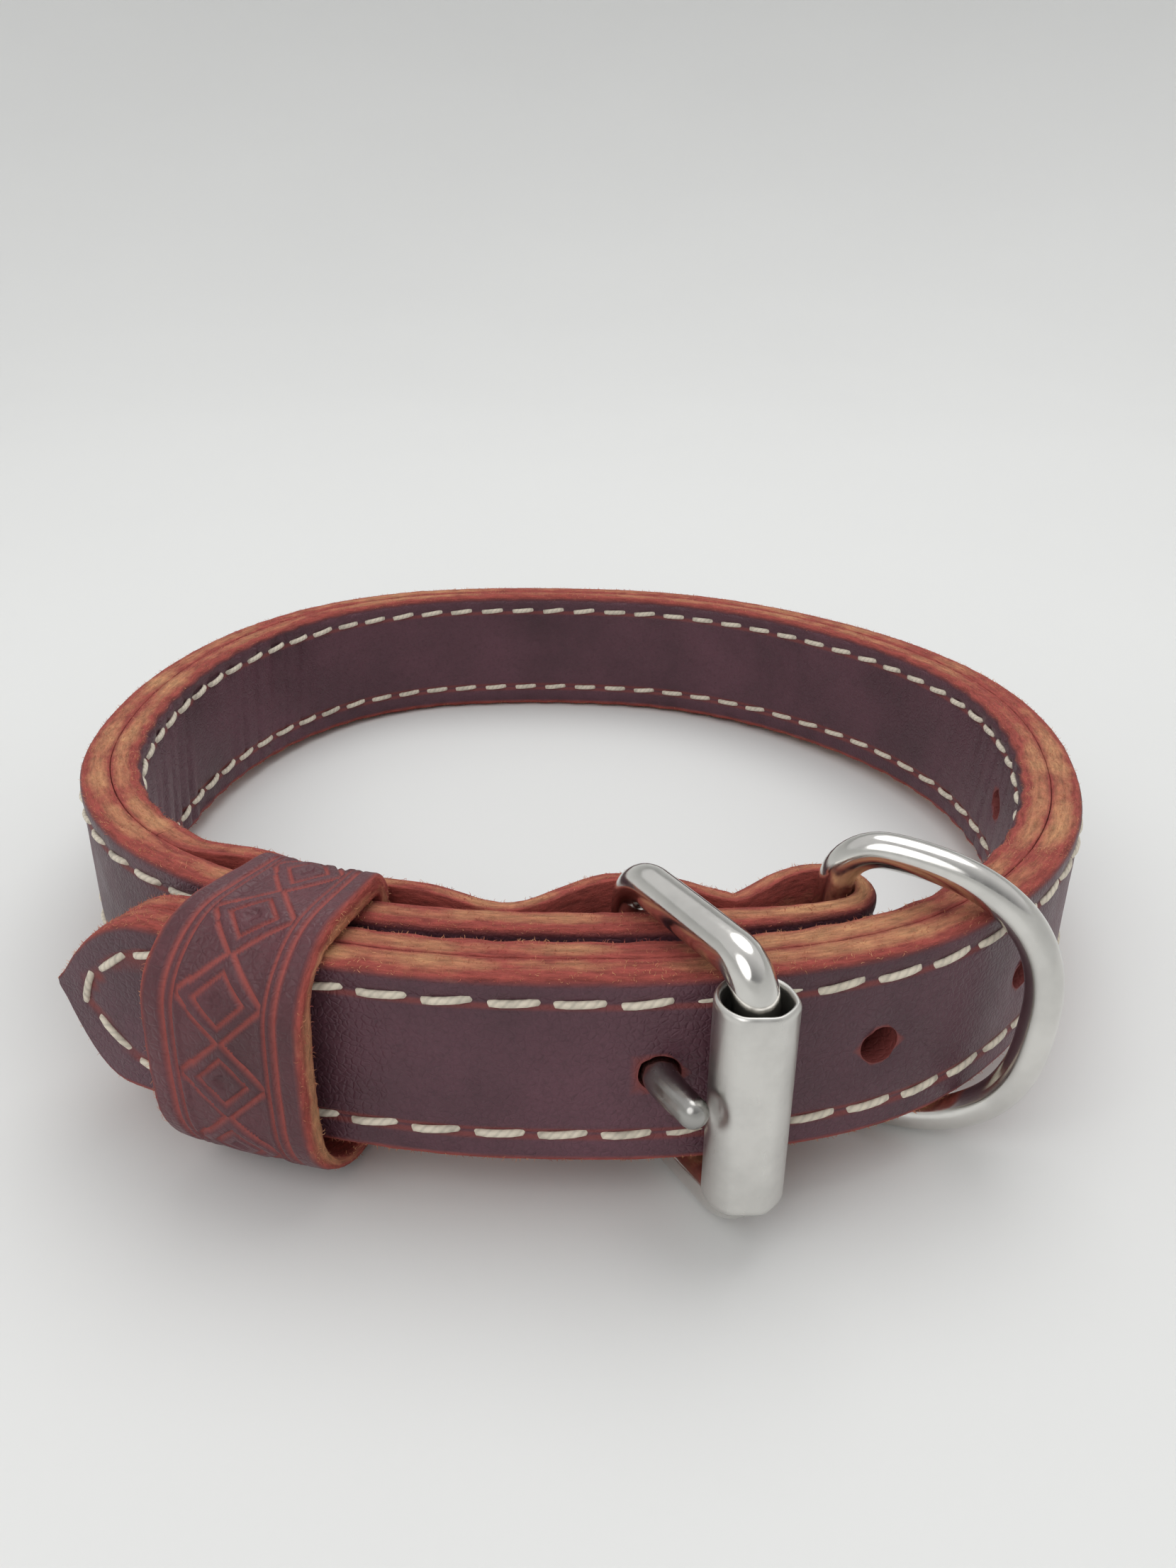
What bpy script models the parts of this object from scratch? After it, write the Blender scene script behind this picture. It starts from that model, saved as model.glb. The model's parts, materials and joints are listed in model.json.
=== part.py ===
"""A buckled leather dog collar: a strap of two plies, a keeper, a roller buckle and a D-ring.

The collar is modelled upright about the middle of its neck loop, with the strap's mid line at height zero,
the buckle at the front (-Y) and bearings measured from the front towards +X. It is then tilted on to its
own lowest points, as it rests on a table. Lengths are in metres.
"""

import math

import bmesh
import bpy
import numpy as np
from mathutils import Matrix, Vector

MM = 0.001

# Strap
LOOP_RADIUS = 73.7 * MM
STRAP_WIDTH = 25.4 * MM
PLY = 4.2 * MM
SEAM_GAP = 0.3 * MM
LAP_GAP = 0.9 * MM
EDGE_BEVEL = 0.6 * MM
TURN_BACK_PLY = 2.6 * MM
STATION = 4.0 * MM
TIP_TO_FIRST_HOLE = 75.0 * MM
TIP_UPPER_CUT = 17.0 * MM
TIP_LOWER_CUT = 9.5 * MM
TIP_FLARE = 5.9 * MM
HOLE = 5.0 * MM
HOLE_PITCH = 25.4 * MM
HOLES = 5

# Buckle
BUCKLE_WIRE = 5.2 * MM
BUCKLE_STRAP_ROOM = 2.2 * MM
BUCKLE_REACH = 24.0 * MM
BUCKLE_HINGE_BEND = 4.4 * MM
BUCKLE_FRONT_BEND = 4.4 * MM
ROLLER_WALL = 0.8 * MM
ROLLER_ROOM = 1.1 * MM
ROLLER_PLAY = 0.5 * MM
ROLLER_RIDGE = 0.25 * MM
ROLLER_RIDGE_ANGLE = -12.0
ROLLER_RIDGE_SPREAD = 30.0
DENT_DEPTH = 0.7 * MM
DENT_LENGTH = 6.0 * MM
DENT_SPREAD = 31.0
TONGUE = 4.2 * MM
TONGUE_TIP = 3.6 * MM
TONGUE_EYE_WALL = 1.5 * MM
TONGUE_EYE_WIDTH = 5.0 * MM
TONGUE_END_TURN = -62.0
TONGUE_TO_FRONT_BAR = 8.25 * MM

# D-ring
RING_WIRE = 4.5 * MM
RING_STRAP_ROOM = 5.8 * MM
RING_REACH = 27.0 * MM
RING_CORNER = 6.2 * MM
RING_FULLNESS = 0.78
RING_LIFT = 1.1 * MM

# Keeper
KEEPER_WIDTH = 17.2 * MM
KEEPER_LEATHER = 2.75 * MM
KEEPER_FRONT_ROOM = 2.2 * MM
KEEPER_TOP_ROOM = 0.9 * MM
KEEPER_BOTTOM_ROOM = 3.6 * MM
KEEPER_TOP_BEND = 5.0 * MM
KEEPER_BOTTOM_BEND = 7.0 * MM
KEEPER_REAR_TOP_BEND = 0.9 * MM
KEEPER_REAR_BOTTOM_BEND = 2.5 * MM

# Clearances
FIT = 0.3 * MM
BAR_ROOM = 0.45 * MM
RING_ROOM = 1.4 * MM
EYE_PLAY = 0.32 * MM

# Bearings round the loop, in degrees from the front towards +X
BUCKLE_BEARING = 6.2
RING_BEARING = 28.0
RING_TURN = 66.0
RING_LEAN = -3.5
RING_DIP = 3.6
KEEPER_BEARING = -27.2
BUTT_BEARING = -50.0
FLARE_BEARING = -15.0
FLARE_END = -48.0

# Share of the tip's upper cut at which its stations stand
TIP_STATIONS = (0, 0.04, 0.1, 0.18, 0.28, 0.4, 0.55, 0.75, 1.0)

# Share of the roller's half length at which its rows of points stand, closer together over the dent
ROLLER_ROWS = (-1, -0.6, -0.3, -0.22, -0.15, -0.08, 0, 0.08, 0.15, 0.22, 0.3, 0.6, 1)

# Half the lap's offset is taken up by each end: the share of it at a bearing eases between these
TIP_EASE = (30.0, 115.0)
END_EASE = (-85.0, -10.0)

# The neck loop's seam seen from above: bearing in degrees, radius as a share of LOOP_RADIUS
LOOP_OUTLINE = (
    (0, 0.951),
    (15, 0.962),
    (30, 0.985),
    (45, 0.984),
    (60, 0.979),
    (75, 0.977),
    (90, 0.989),
    (105, 0.997),
    (120, 0.990),
    (135, 0.984),
    (150, 0.991),
    (165, 1.001),
    (180, 1.006),
    (195, 1.035),
    (208, 1.077),
    (220, 1.093),
    (232, 1.078),
    (245, 1.048),
    (260, 1.018),
    (275, 1.007),
    (290, 1.017),
    (305, 1.021),
    (320, 1.006),
    (335, 0.984),
    (350, 0.960),
)

# Where the turned back end parts from the strap: piece, bearing, half its flat, spread beyond it (degrees)
PARTING = (
    ("buckle", BUCKLE_BEARING, 1.0, 13.0),
    ("ring", RING_BEARING, 1.0, 13.0),
    ("keeper", KEEPER_BEARING, 9.0, 11.0),
)

HALF_WIDTH = STRAP_WIDTH / 2
LAP = PLY + SEAM_GAP + LAP_GAP / 2
BUCKLE_INSIDE = STRAP_WIDTH + BUCKLE_STRAP_ROOM
RING_INSIDE = STRAP_WIDTH + RING_STRAP_ROOM
UP = Vector((0, 0, 1))


def ease(value, low, high):
    """0 below low, 1 above high, smooth in between."""
    share = min(max((value - low) / (high - low), 0.0), 1.0)
    return share * share * (3 - 2 * share)


def outward(bearing):
    """The level direction away from the loop's middle at a bearing."""
    angle = math.radians(bearing)
    return Vector((math.sin(angle), -math.cos(angle), 0))


def outline_radius(bearing):
    """The loop's radius at a bearing, by a smooth curve through LOOP_OUTLINE."""
    bearing %= 360
    rows = LOOP_OUTLINE
    count = len(rows)
    index = max(i for i in range(count) if rows[i][0] <= bearing)
    picked = [rows[(index + step) % count] for step in (-1, 0, 1, 2)]
    start = picked[1][0]
    places = [(row[0] - start + 180) % 360 - 180 for row in picked]
    shares = [row[1] for row in picked]
    span = places[2]
    part = (bearing - start) / span
    slope_1 = (shares[2] - shares[0]) / (places[2] - places[0]) * span
    slope_2 = (shares[3] - shares[1]) / (places[3] - places[1]) * span
    cube, square = part ** 3, part ** 2
    share = (
        (2 * cube - 3 * square + 1) * shares[1]
        + (cube - 2 * square + part) * slope_1
        + (3 * square - 2 * cube) * shares[2]
        + (cube - square) * slope_2
    )
    return share * LOOP_RADIUS


def seam(bearing):
    """The strap's seam line. Bearings run on from the tip (below 0) to the buckle end (above 360)."""
    radius = outline_radius(bearing)
    if bearing < 180:
        radius += LAP * (1 - ease(bearing, *TIP_EASE))
    else:
        radius -= LAP * ease(bearing - 360, *END_EASE)
    past = max(FLARE_BEARING - bearing, 0) / (FLARE_BEARING - FLARE_END)
    return outward(bearing) * (radius + TIP_FLARE * past ** 2)


def seam_normal(bearing):
    """The strap's level outward normal at a bearing."""
    along = seam(bearing + 0.5) - seam(bearing - 0.5)
    return Vector((along.y, -along.x, 0)).normalized()


def seam_offset(bearing, distance):
    """A point of the strap at a distance outside its seam, or inside it when negative."""
    return seam(bearing) + seam_normal(bearing) * distance


def bearing_after(bearing, length, step=0.25):
    """The bearing reached by going a length along the seam, backwards when it is negative."""
    turn = math.copysign(step, length)
    left = abs(length)
    here = seam(bearing)
    while left > 0:
        there = seam(bearing + turn)
        run = (there - here).length
        if run >= left:
            return bearing + turn * left / run
        left -= run
        bearing += turn
        here = there
    return bearing


FLESH = SEAM_GAP / 2
GRAIN = FLESH + PLY
HINGE_BAR = seam_offset(360 + BUCKLE_BEARING, FLESH - BAR_ROOM - BUCKLE_WIRE / 2)
RING_BAR = seam_offset(360 + RING_BEARING, GRAIN - TURN_BACK_PLY - RING_ROOM - RING_WIRE / 2)
RAIL_HEIGHT = (BUCKLE_INSIDE + BUCKLE_WIRE) / 2
EYE_RADIUS = BUCKLE_WIRE / 2 + EYE_PLAY + TONGUE_EYE_WALL
ROLLER = BUCKLE_WIRE + 2 * (ROLLER_ROOM + ROLLER_WALL)


def front_bar_bearing():
    """Where the front bar, clear of the tip strap by its roller, stands BUCKLE_REACH from the hinge bar."""
    low, high = BUCKLE_BEARING, 90.0
    for _ in range(40):
        middle = (low + high) / 2
        if (seam_offset(middle, ROLLER_STAND) - HINGE_BAR).length < BUCKLE_REACH:
            low = middle
        else:
            high = middle
    return low


ROLLER_STAND = GRAIN + FIT + ROLLER / 2
FRONT_BAR_BEARING = front_bar_bearing()
FRONT_BAR = seam_offset(FRONT_BAR_BEARING, ROLLER_STAND)
TONGUE_BEARING = bearing_after(FRONT_BAR_BEARING, -TONGUE_TO_FRONT_BAR)
TIP_BEARING = bearing_after(TONGUE_BEARING, -TIP_TO_FIRST_HOLE)
TONGUE_AXIS = (seam_offset(TONGUE_BEARING, GRAIN) - HINGE_BAR).normalized()


def new_material(name, colour, roughness, metallic=0.0):
    material = bpy.data.materials.new(name)
    material.use_nodes = True
    shader = material.node_tree.nodes["Principled BSDF"]
    shader.inputs["Base Color"].default_value = (*colour, 1)
    shader.inputs["Roughness"].default_value = roughness
    shader.inputs["Metallic"].default_value = metallic
    return material


def new_object(name, mesh, material=None, parent=None):
    body = bpy.data.objects.new(name, mesh)
    bpy.context.scene.collection.objects.link(body)
    body.parent = parent
    if material:
        mesh.materials.append(material)
        mesh.shade_smooth()
        mesh.set_sharp_from_angle(angle=math.radians(40))
    return body


def loft(name, sections, closed=False):
    """A mesh through sections of equal point counts: capped at its ends, or closed on itself."""
    mesh = bpy.data.meshes.new(name)
    build = bmesh.new()
    rings = [[build.verts.new(point) for point in section] for section in sections]
    count = len(rings[0])
    pairs = list(zip(rings, rings[1:]))
    if closed:
        pairs.append((rings[-1], rings[0]))
    for ring, following in pairs:
        for i in range(count):
            j = (i + 1) % count
            build.faces.new((ring[i], ring[j], following[j], following[i]))
    if not closed:
        build.faces.new(rings[0])
        build.faces.new(reversed(rings[-1]))
    bmesh.ops.recalc_face_normals(build, faces=build.faces)
    build.to_mesh(mesh)
    build.free()
    return mesh


def wire_sections(path, radii, sides, closed=False):
    """Round sections across a path, one for each of its points, without twist."""
    count = len(path)
    sections = []
    across = None
    for i, point in enumerate(path):
        before = path[i - 1] if closed or i else path[i]
        after = path[(i + 1) % count] if closed or i < count - 1 else path[i]
        along = (after - before).normalized()
        if across is None:
            across = along.orthogonal()
        across = (across - along * across.dot(along)).normalized()
        other = along.cross(across)
        section = []
        for k in range(sides):
            angle = 2 * math.pi * k / sides
            section.append(point + (across * math.cos(angle) + other * math.sin(angle)) * radii[i])
        sections.append(section)
    return sections


def arc(centre, start, finish, steps):
    """Points on a quarter or other turn about a centre, from centre+start to centre+finish."""
    angle = start.angle(finish)
    axis = start.cross(finish).normalized()
    return [centre + Matrix.Rotation(angle * i / steps, 3, axis) @ start for i in range(steps + 1)]


def cylinder(name, start, finish, radius, sides=24):
    return loft(name, wire_sections([start, finish], [radius, radius], sides))


def cutter(name, mesh, parent):
    body = new_object(name, mesh, parent=parent)
    body.hide_render = True
    body.display_type = "WIRE"
    return body


def boolean(body, other, operation):
    modifier = body.modifiers.new(other.name, "BOOLEAN")
    modifier.operation = operation
    modifier.solver = "EXACT"
    modifier.object = other
    return modifier


def strap_bearings():
    """Stations from the tip to the ring's bar: close together at the pointed end, then evenly spaced."""
    bearings = [bearing_after(TIP_BEARING, TIP_UPPER_CUT * share) for share in TIP_STATIONS]
    last = 360 + RING_BEARING
    while bearing_after(bearings[-1], STATION * 1.5) < last:
        bearings.append(bearing_after(bearings[-1], STATION))
    bearings.append(last)
    return bearings


def tip_heights(bearing):
    """The strap's lower and upper edge at a bearing, pointed at the tip."""
    run = (seam(bearing) - seam(TIP_BEARING)).length if bearing < 0 else TIP_UPPER_CUT
    run += TIP_UPPER_CUT * 0.02
    upper = 1 - (1 - min(run / TIP_UPPER_CUT, 1)) ** 2
    lower = 1 - (1 - min(run / TIP_LOWER_CUT, 1)) ** 2
    return -HALF_WIDTH * lower, HALF_WIDTH * upper


def ply_section(flesh_point, normal, thickness, low, high):
    """A ply's section, with its two grain edges bevelled."""
    bevel = min(EDGE_BEVEL, (high - low) / 4)
    profile = (
        (0, low),
        (0, high),
        (thickness - bevel, high),
        (thickness, high - bevel),
        (thickness, low + bevel),
        (thickness - bevel, low),
    )
    return [flesh_point + normal * out + UP * height for out, height in profile]


def parting(bearing):
    """How far the turned back end stands behind the seam, over the bars and the keeper."""
    peaks = {
        "buckle": BAR_ROOM + BUCKLE_WIRE / 2 + EYE_RADIUS + BAR_ROOM - FLESH,
        "ring": 2 * RING_ROOM + RING_WIRE - (GRAIN - TURN_BACK_PLY),
        "keeper": KEEPER_LEATHER + 2 * BAR_ROOM,
    }
    total = FLESH ** 4
    for name, place, flat, spread in PARTING:
        away = max(abs(bearing - 360 - place) - flat, 0) / spread
        share = 0.5 + 0.5 * math.cos(math.pi * min(away, 1))
        total += (peaks[name] * share) ** 4
    return total ** 0.25


def outer_ply_mesh():
    """The outer ply: round the loop, round the ring's bar and back behind the buckle."""
    rows = []
    for bearing in strap_bearings():
        low, high = tip_heights(bearing)
        thickness = PLY + (TURN_BACK_PLY - PLY) * ease(bearing - 360, BUCKLE_BEARING * 2, RING_BEARING)
        rows.append((seam_offset(bearing, GRAIN - thickness), thickness, low, high))
    normal = seam_normal(360 + RING_BEARING)
    fold_radius = RING_WIRE / 2 + RING_ROOM
    forward = normal.cross(UP) * -1
    steps = 10
    for i in range(1, steps + 1):
        angle = math.pi * i / steps
        turned = normal * math.cos(angle) + forward * math.sin(angle)
        rows.append((RING_BAR + turned * fold_radius, TURN_BACK_PLY, -HALF_WIDTH, HALF_WIDTH))
    bearing = bearing_after(360 + RING_BEARING, -STATION)
    while bearing > 360 + BUTT_BEARING:
        thickness = PLY + (TURN_BACK_PLY - PLY) * ease(bearing - 360, BUTT_BEARING, KEEPER_BEARING)
        rows.append((seam_offset(bearing, -parting(bearing)), thickness, -HALF_WIDTH, HALF_WIDTH))
        bearing = bearing_after(bearing, -STATION * 0.75)
    return ply_loft("strap_outer_ply", rows)


def inner_ply_mesh():
    """The inner ply: from the tip to a butt with the turned back end."""
    rows = []
    stop = 360 + BUTT_BEARING - math.degrees(2 * FIT / LOOP_RADIUS)
    for bearing in [b for b in strap_bearings() if b < stop - 1] + [stop]:
        low, high = tip_heights(bearing)
        rows.append((seam_offset(bearing, -FLESH), PLY, low, high))
    rows.reverse()
    return ply_loft("strap_inner_ply", rows)


def ply_loft(name, rows):
    """Loft a ply from rows of flesh point, thickness, lower and upper edge, with its grain to the right."""
    sections = []
    for i, (point, thickness, low, high) in enumerate(rows):
        before = rows[max(i - 1, 0)][0]
        after = rows[min(i + 1, len(rows) - 1)][0]
        along = after - before
        normal = Vector((along.y, -along.x, 0)).normalized()
        sections.append(ply_section(point, normal, thickness, low, high))
    return loft(name, sections)


def punch_holes(plies, parent):
    """The tongue's hole lies on the tongue's own line; the others are square to the strap."""
    reach = GRAIN * 2
    for number in range(HOLES):
        name = f"hole_{number + 1}"
        if number == 0:
            line = TONGUE_AXIS
            middle = HINGE_BAR + line * (seam(TONGUE_BEARING) - HINGE_BAR).length
        else:
            bearing = bearing_after(TONGUE_BEARING, HOLE_PITCH * number)
            line = seam_normal(bearing)
            middle = seam(bearing)
        punch = cutter(name, cylinder(name, middle - line * reach, middle + line * reach, HOLE / 2), parent)
        for ply in plies:
            boolean(ply, punch, "DIFFERENCE")


def cut_tongue_slot(ply, parent):
    """An oblong slot through the front of the buckle end, where the tongue's eye comes through."""
    along = TONGUE_AXIS.cross(UP)
    start = HINGE_BAR
    half_length = EYE_RADIUS + FIT
    half_height = TONGUE_EYE_WIDTH / 2 + FIT
    finish = HINGE_BAR + TONGUE_AXIS * (BUCKLE_WIRE / 2 + BAR_ROOM + PLY + LAP_GAP / 2)
    sections = []
    for end in (start, finish):
        sections.append([
            end + along * x + UP * z
            for x, z in (
                (-half_length, -half_height),
                (half_length, -half_height),
                (half_length, half_height),
                (-half_length, half_height),
            )
        ])
    slot = cutter("tongue_slot", loft("tongue_slot", sections), parent)
    boolean(ply, slot, "DIFFERENCE")


def keeper_mesh():
    """A band round the tip and the front of the buckle end, its back wall between the strap's plies."""
    steps = 6
    half_turn = math.degrees(KEEPER_WIDTH / 2 / outline_radius(KEEPER_BEARING))
    sections = []
    for i in range(steps + 1):
        bearing = KEEPER_BEARING + half_turn * (2 * i / steps - 1)
        front = seam_offset(bearing, GRAIN + KEEPER_FRONT_ROOM)
        back = seam_offset(360 + bearing, FLESH - BAR_ROOM)
        inner = keeper_outline(back, front, 0)
        outer = keeper_outline(back, front, KEEPER_LEATHER)
        sections.append((inner, outer))
    count = len(sections[0][0])
    loops = []
    for k in range(count):
        loops.append([row[0][k] for row in sections] + [row[1][k] for row in reversed(sections)])
    return loft("keeper", loops, closed=True)


def keeper_outline(back, front, skin):
    """The keeper's inner outline grown outwards by skin: tight behind, round in front."""
    depth = (front - back).length
    normal = (front - back).normalized()
    top = HALF_WIDTH + KEEPER_TOP_ROOM
    bottom = -HALF_WIDTH - KEEPER_BOTTOM_ROOM
    corners = (
        (0, bottom, KEEPER_REAR_BOTTOM_BEND, 180),
        (depth, bottom, KEEPER_BOTTOM_BEND, 270),
        (depth, top, KEEPER_TOP_BEND, 0),
        (0, top, KEEPER_REAR_TOP_BEND, 90),
    )
    points = []
    steps = 5
    for out, height, bend, start in corners:
        middle_out = out + bend if out == 0 else out - bend
        middle_height = height + bend if height == bottom else height - bend
        for k in range(steps + 1):
            angle = math.radians(start + 90 * k / steps)
            points.append(
                back
                + normal * (middle_out + (bend + skin) * math.cos(angle))
                + UP * (middle_height + (bend + skin) * math.sin(angle))
            )
    return points


def frame_path():
    """The buckle's wire: hinge bar, lower rail, front bar and upper rail, with rounded corners."""
    reach = (FRONT_BAR - HINGE_BAR).normalized()
    path = []
    corners = (
        (HINGE_BAR, -1, BUCKLE_HINGE_BEND, reach),
        (FRONT_BAR, -1, BUCKLE_FRONT_BEND, -reach),
        (FRONT_BAR, 1, BUCKLE_FRONT_BEND, -reach),
        (HINGE_BAR, 1, BUCKLE_HINGE_BEND, reach),
    )
    for place, side, bend, inwards in corners:
        centre = place + UP * side * (RAIL_HEIGHT - bend) + inwards * bend
        to_bar, to_rail = -inwards * bend, UP * side * bend
        first, second = (to_bar, to_rail) if (place == HINGE_BAR) == (side < 0) else (to_rail, to_bar)
        path += arc(centre, first, second, 6)
    return path


def closed_wire(name, path, wire):
    return loft(name, wire_sections(path, [wire / 2] * len(path), 14, closed=True), closed=True)


def roller_mesh():
    """A rolled sheet tube about its own axis, with a ridge at its seam and a dent beside the tongue."""
    towards_tongue = tongue_end() - FRONT_BAR
    dent_angle = math.atan2(towards_tongue.y, towards_tongue.x)
    ridge_angle = math.radians(ROLLER_RIDGE_ANGLE)
    half = BUCKLE_INSIDE / 2 - ROLLER_PLAY
    sides = 32
    columns = []
    for k in range(sides):
        angle = 2 * math.pi * k / sides
        away = (angle - ridge_angle + math.pi) % (2 * math.pi) - math.pi
        ridge = ROLLER_RIDGE * max(1 - abs(away) / math.radians(ROLLER_RIDGE_SPREAD), 0) ** 1.5
        turn = (angle - dent_angle + math.pi) % (2 * math.pi) - math.pi
        column = []
        for skin in (0, ROLLER_WALL):
            side = []
            for share in ROLLER_ROWS:
                height = share * half
                spot = math.hypot(turn / math.radians(DENT_SPREAD), height / (DENT_LENGTH / 2))
                dent = DENT_DEPTH * (1 - ease(spot, 0.2, 1))
                radius = ROLLER / 2 - skin + ridge - dent
                side.append(Vector((math.cos(angle) * radius, math.sin(angle) * radius, height)))
            column += side if skin == 0 else side[::-1]
        columns.append(column)
    return loft("buckle_roller", columns, closed=True)


def tongue_end():
    """The tongue's end lies beside the roller, clear of it."""
    level = seam_normal(TONGUE_BEARING)
    beside = (Matrix.Rotation(math.radians(TONGUE_END_TURN), 3, "Z") @ level).normalized()
    return FRONT_BAR + beside * (ROLLER / 2 + TONGUE_TIP / 2 + FIT)


def tongue_path():
    """From the eye straight through the strap, then bent towards the roller."""
    leaves = HINGE_BAR + TONGUE_AXIS * ((seam_offset(TONGUE_BEARING, GRAIN) - HINGE_BAR).length + FIT)
    end = tongue_end()
    start = HINGE_BAR + TONGUE_AXIS * (BUCKLE_WIRE / 2 + EYE_PLAY + TONGUE_EYE_WALL * 0.6)
    corner = leaves + TONGUE_AXIS * TONGUE / 3
    path = [start, leaves - TONGUE_AXIS * TONGUE / 4, leaves]
    for share in (0.25, 0.5, 0.75, 1.0):
        path.append(leaves.lerp(corner, share).lerp(corner.lerp(end, share), share))
    heading = (path[-1] - path[-2]).normalized()
    path[-1] = end - heading * TONGUE_TIP * 0.25
    path.append(end)
    path.append(end + heading * TONGUE_TIP * 0.12)
    return path


def tongue_mesh():
    path = tongue_path()
    tip = TONGUE_TIP / 2
    radii = [TONGUE / 2] * 5 + [(TONGUE / 2 + tip) / 2, tip, tip * 0.8, tip * 0.5]
    return loft("buckle_tongue", wire_sections(path, radii, 14))


def add_tongue(material, parent):
    """The tongue and its eye, in one piece, bored for the hinge bar."""
    tongue = new_object("buckle_tongue", tongue_mesh(), material, parent)
    half = UP * TONGUE_EYE_WIDTH / 2
    bore_radius = BUCKLE_WIRE / 2 + EYE_PLAY
    eye_mesh = cylinder("tongue_eye", HINGE_BAR - half, HINGE_BAR + half, EYE_RADIUS)
    eye = cutter("tongue_eye", eye_mesh, parent)
    bore_mesh = cylinder("tongue_bore", HINGE_BAR - half * 2, HINGE_BAR + half * 2, bore_radius)
    bore = cutter("tongue_bore", bore_mesh, parent)
    boolean(tongue, eye, "UNION")
    boolean(tongue, bore, "DIFFERENCE")
    return tongue


def ring_path():
    """The D-ring in its own plane: X away from the bar, Z along the bar."""
    half = (RING_INSIDE + RING_WIRE) / 2
    out, up = Vector((RING_CORNER, 0, 0)), Vector((0, 0, RING_CORNER))
    path = arc(Vector((RING_CORNER, 0, RING_CORNER - half)), -out, -up, 4)
    steps = 26
    for k in range(1, steps):
        angle = math.pi * (k / steps - 0.5)
        reach = RING_CORNER + (RING_REACH - RING_CORNER) * math.cos(angle) ** RING_FULLNESS
        height = math.copysign(half * abs(math.sin(angle)) ** RING_FULLNESS, angle)
        path.append(Vector((reach, 0, height)))
    return path + arc(Vector((RING_CORNER, 0, half - RING_CORNER)), up, -out, 4)


def joint_empty(name, place, turn, parent):
    empty = bpy.data.objects.new(name, None)
    bpy.context.scene.collection.objects.link(empty)
    empty.parent = parent
    empty.location = place
    empty.rotation_euler = turn
    return empty


def resting_points(pieces):
    """Every vertex of the finished pieces, in the upright collar's frame, as rows of an array."""
    bpy.context.view_layer.update()
    depsgraph = bpy.context.evaluated_depsgraph_get()
    points = []
    for piece in pieces:
        shown = piece.evaluated_get(depsgraph)
        mesh = shown.to_mesh()
        points += [shown.matrix_world @ vertex.co for vertex in mesh.vertices]
        shown.to_mesh_clear()
    return np.array(points)


def resting_turn(points):
    """The tilt and roll at which the back, the front's left and the front's right are equally low."""
    back = points[:, 1] > 0
    left = ~back & (points[:, 0] < 0)
    right = ~back & (points[:, 0] > 0)
    slope, lean = 0.0, 0.0
    for _ in range(60):
        heights = points[:, 2] + slope * points[:, 1] + lean * points[:, 0]
        feet = [points[side][heights[side].argmin()] for side in (back, left, right)]
        rows = [(foot[1], foot[0], 1.0) for foot in feet]
        wanted_slope, wanted_lean, _ = np.linalg.solve(rows, [-foot[2] for foot in feet])
        slope += (wanted_slope - slope) / 2
        lean += (wanted_lean - lean) / 2
    up = Vector((lean, slope, 1)).normalized()
    return up.rotation_difference(UP).to_matrix().to_4x4()


def rest_on_table(collar, pieces):
    """Turn the collar on to its three lowest places and centre its box over the origin."""
    points = resting_points(pieces)
    turn = resting_turn(points)
    placed = points @ np.array(turn.to_3x3()).T
    low, high = placed.min(axis=0), placed.max(axis=0)
    shift = Vector((-(low[0] + high[0]) / 2, -(low[1] + high[1]) / 2, -low[2]))
    collar.matrix_world = Matrix.Translation(shift) @ turn


def main():
    for item in list(bpy.data.objects):
        bpy.data.objects.remove(item)

    strap_leather = new_material("strap_leather", (0.075, 0.035, 0.045), 0.45)
    lining_leather = new_material("lining_leather", (0.085, 0.035, 0.045), 0.5)
    keeper_leather = new_material("keeper_leather", (0.13, 0.035, 0.04), 0.5)
    polished_steel = new_material("polished_steel", (0.75, 0.75, 0.74), 0.15, 1.0)
    brushed_steel = new_material("brushed_steel", (0.7, 0.7, 0.69), 0.35, 1.0)

    collar = joint_empty("collar", Vector(), (0, 0, 0), None)
    outer = new_object("strap_outer_ply", outer_ply_mesh(), strap_leather, collar)
    inner = new_object("strap_inner_ply", inner_ply_mesh(), lining_leather, collar)
    punch_holes((outer, inner), collar)
    cut_tongue_slot(outer, collar)
    keeper = new_object("keeper", keeper_mesh(), keeper_leather, collar)
    frame_mesh = closed_wire("buckle_frame", frame_path(), BUCKLE_WIRE)
    frame = new_object("buckle_frame", frame_mesh, polished_steel, collar)
    tongue = add_tongue(polished_steel, collar)
    roller_axis = joint_empty("roller_axis", FRONT_BAR, (0, 0, 0), collar)
    roller = new_object("buckle_roller", roller_mesh(), brushed_steel, roller_axis)
    lean = (math.radians(RING_LEAN), math.radians(RING_DIP), math.radians(RING_TURN - 90))
    ring_axis = joint_empty("ring_axis", RING_BAR + UP * RING_LIFT, lean, collar)
    ring_mesh = closed_wire("d_ring", ring_path(), RING_WIRE)
    ring = new_object("d_ring", ring_mesh, polished_steel, ring_axis)
    rest_on_table(collar, (outer, inner, keeper, frame, tongue, roller, ring))


main()
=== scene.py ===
"""The leather dog collar's finished look, laid out as an add-on and run as a script.

The collar is shaped upright about the middle of its neck loop, with the strap's mid line at height zero and
bearings measured from the buckle's side (-Y) towards the D-ring (+X). TO_TABLE then lays each point where the
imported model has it, by the roller's pin. Lengths are in metres.
"""

import json
import math

import bmesh
import bpy
import numpy as np
from bpy.props import FloatProperty, FloatVectorProperty, IntProperty, PointerProperty
from mathutils import Matrix, Vector, noise


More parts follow.
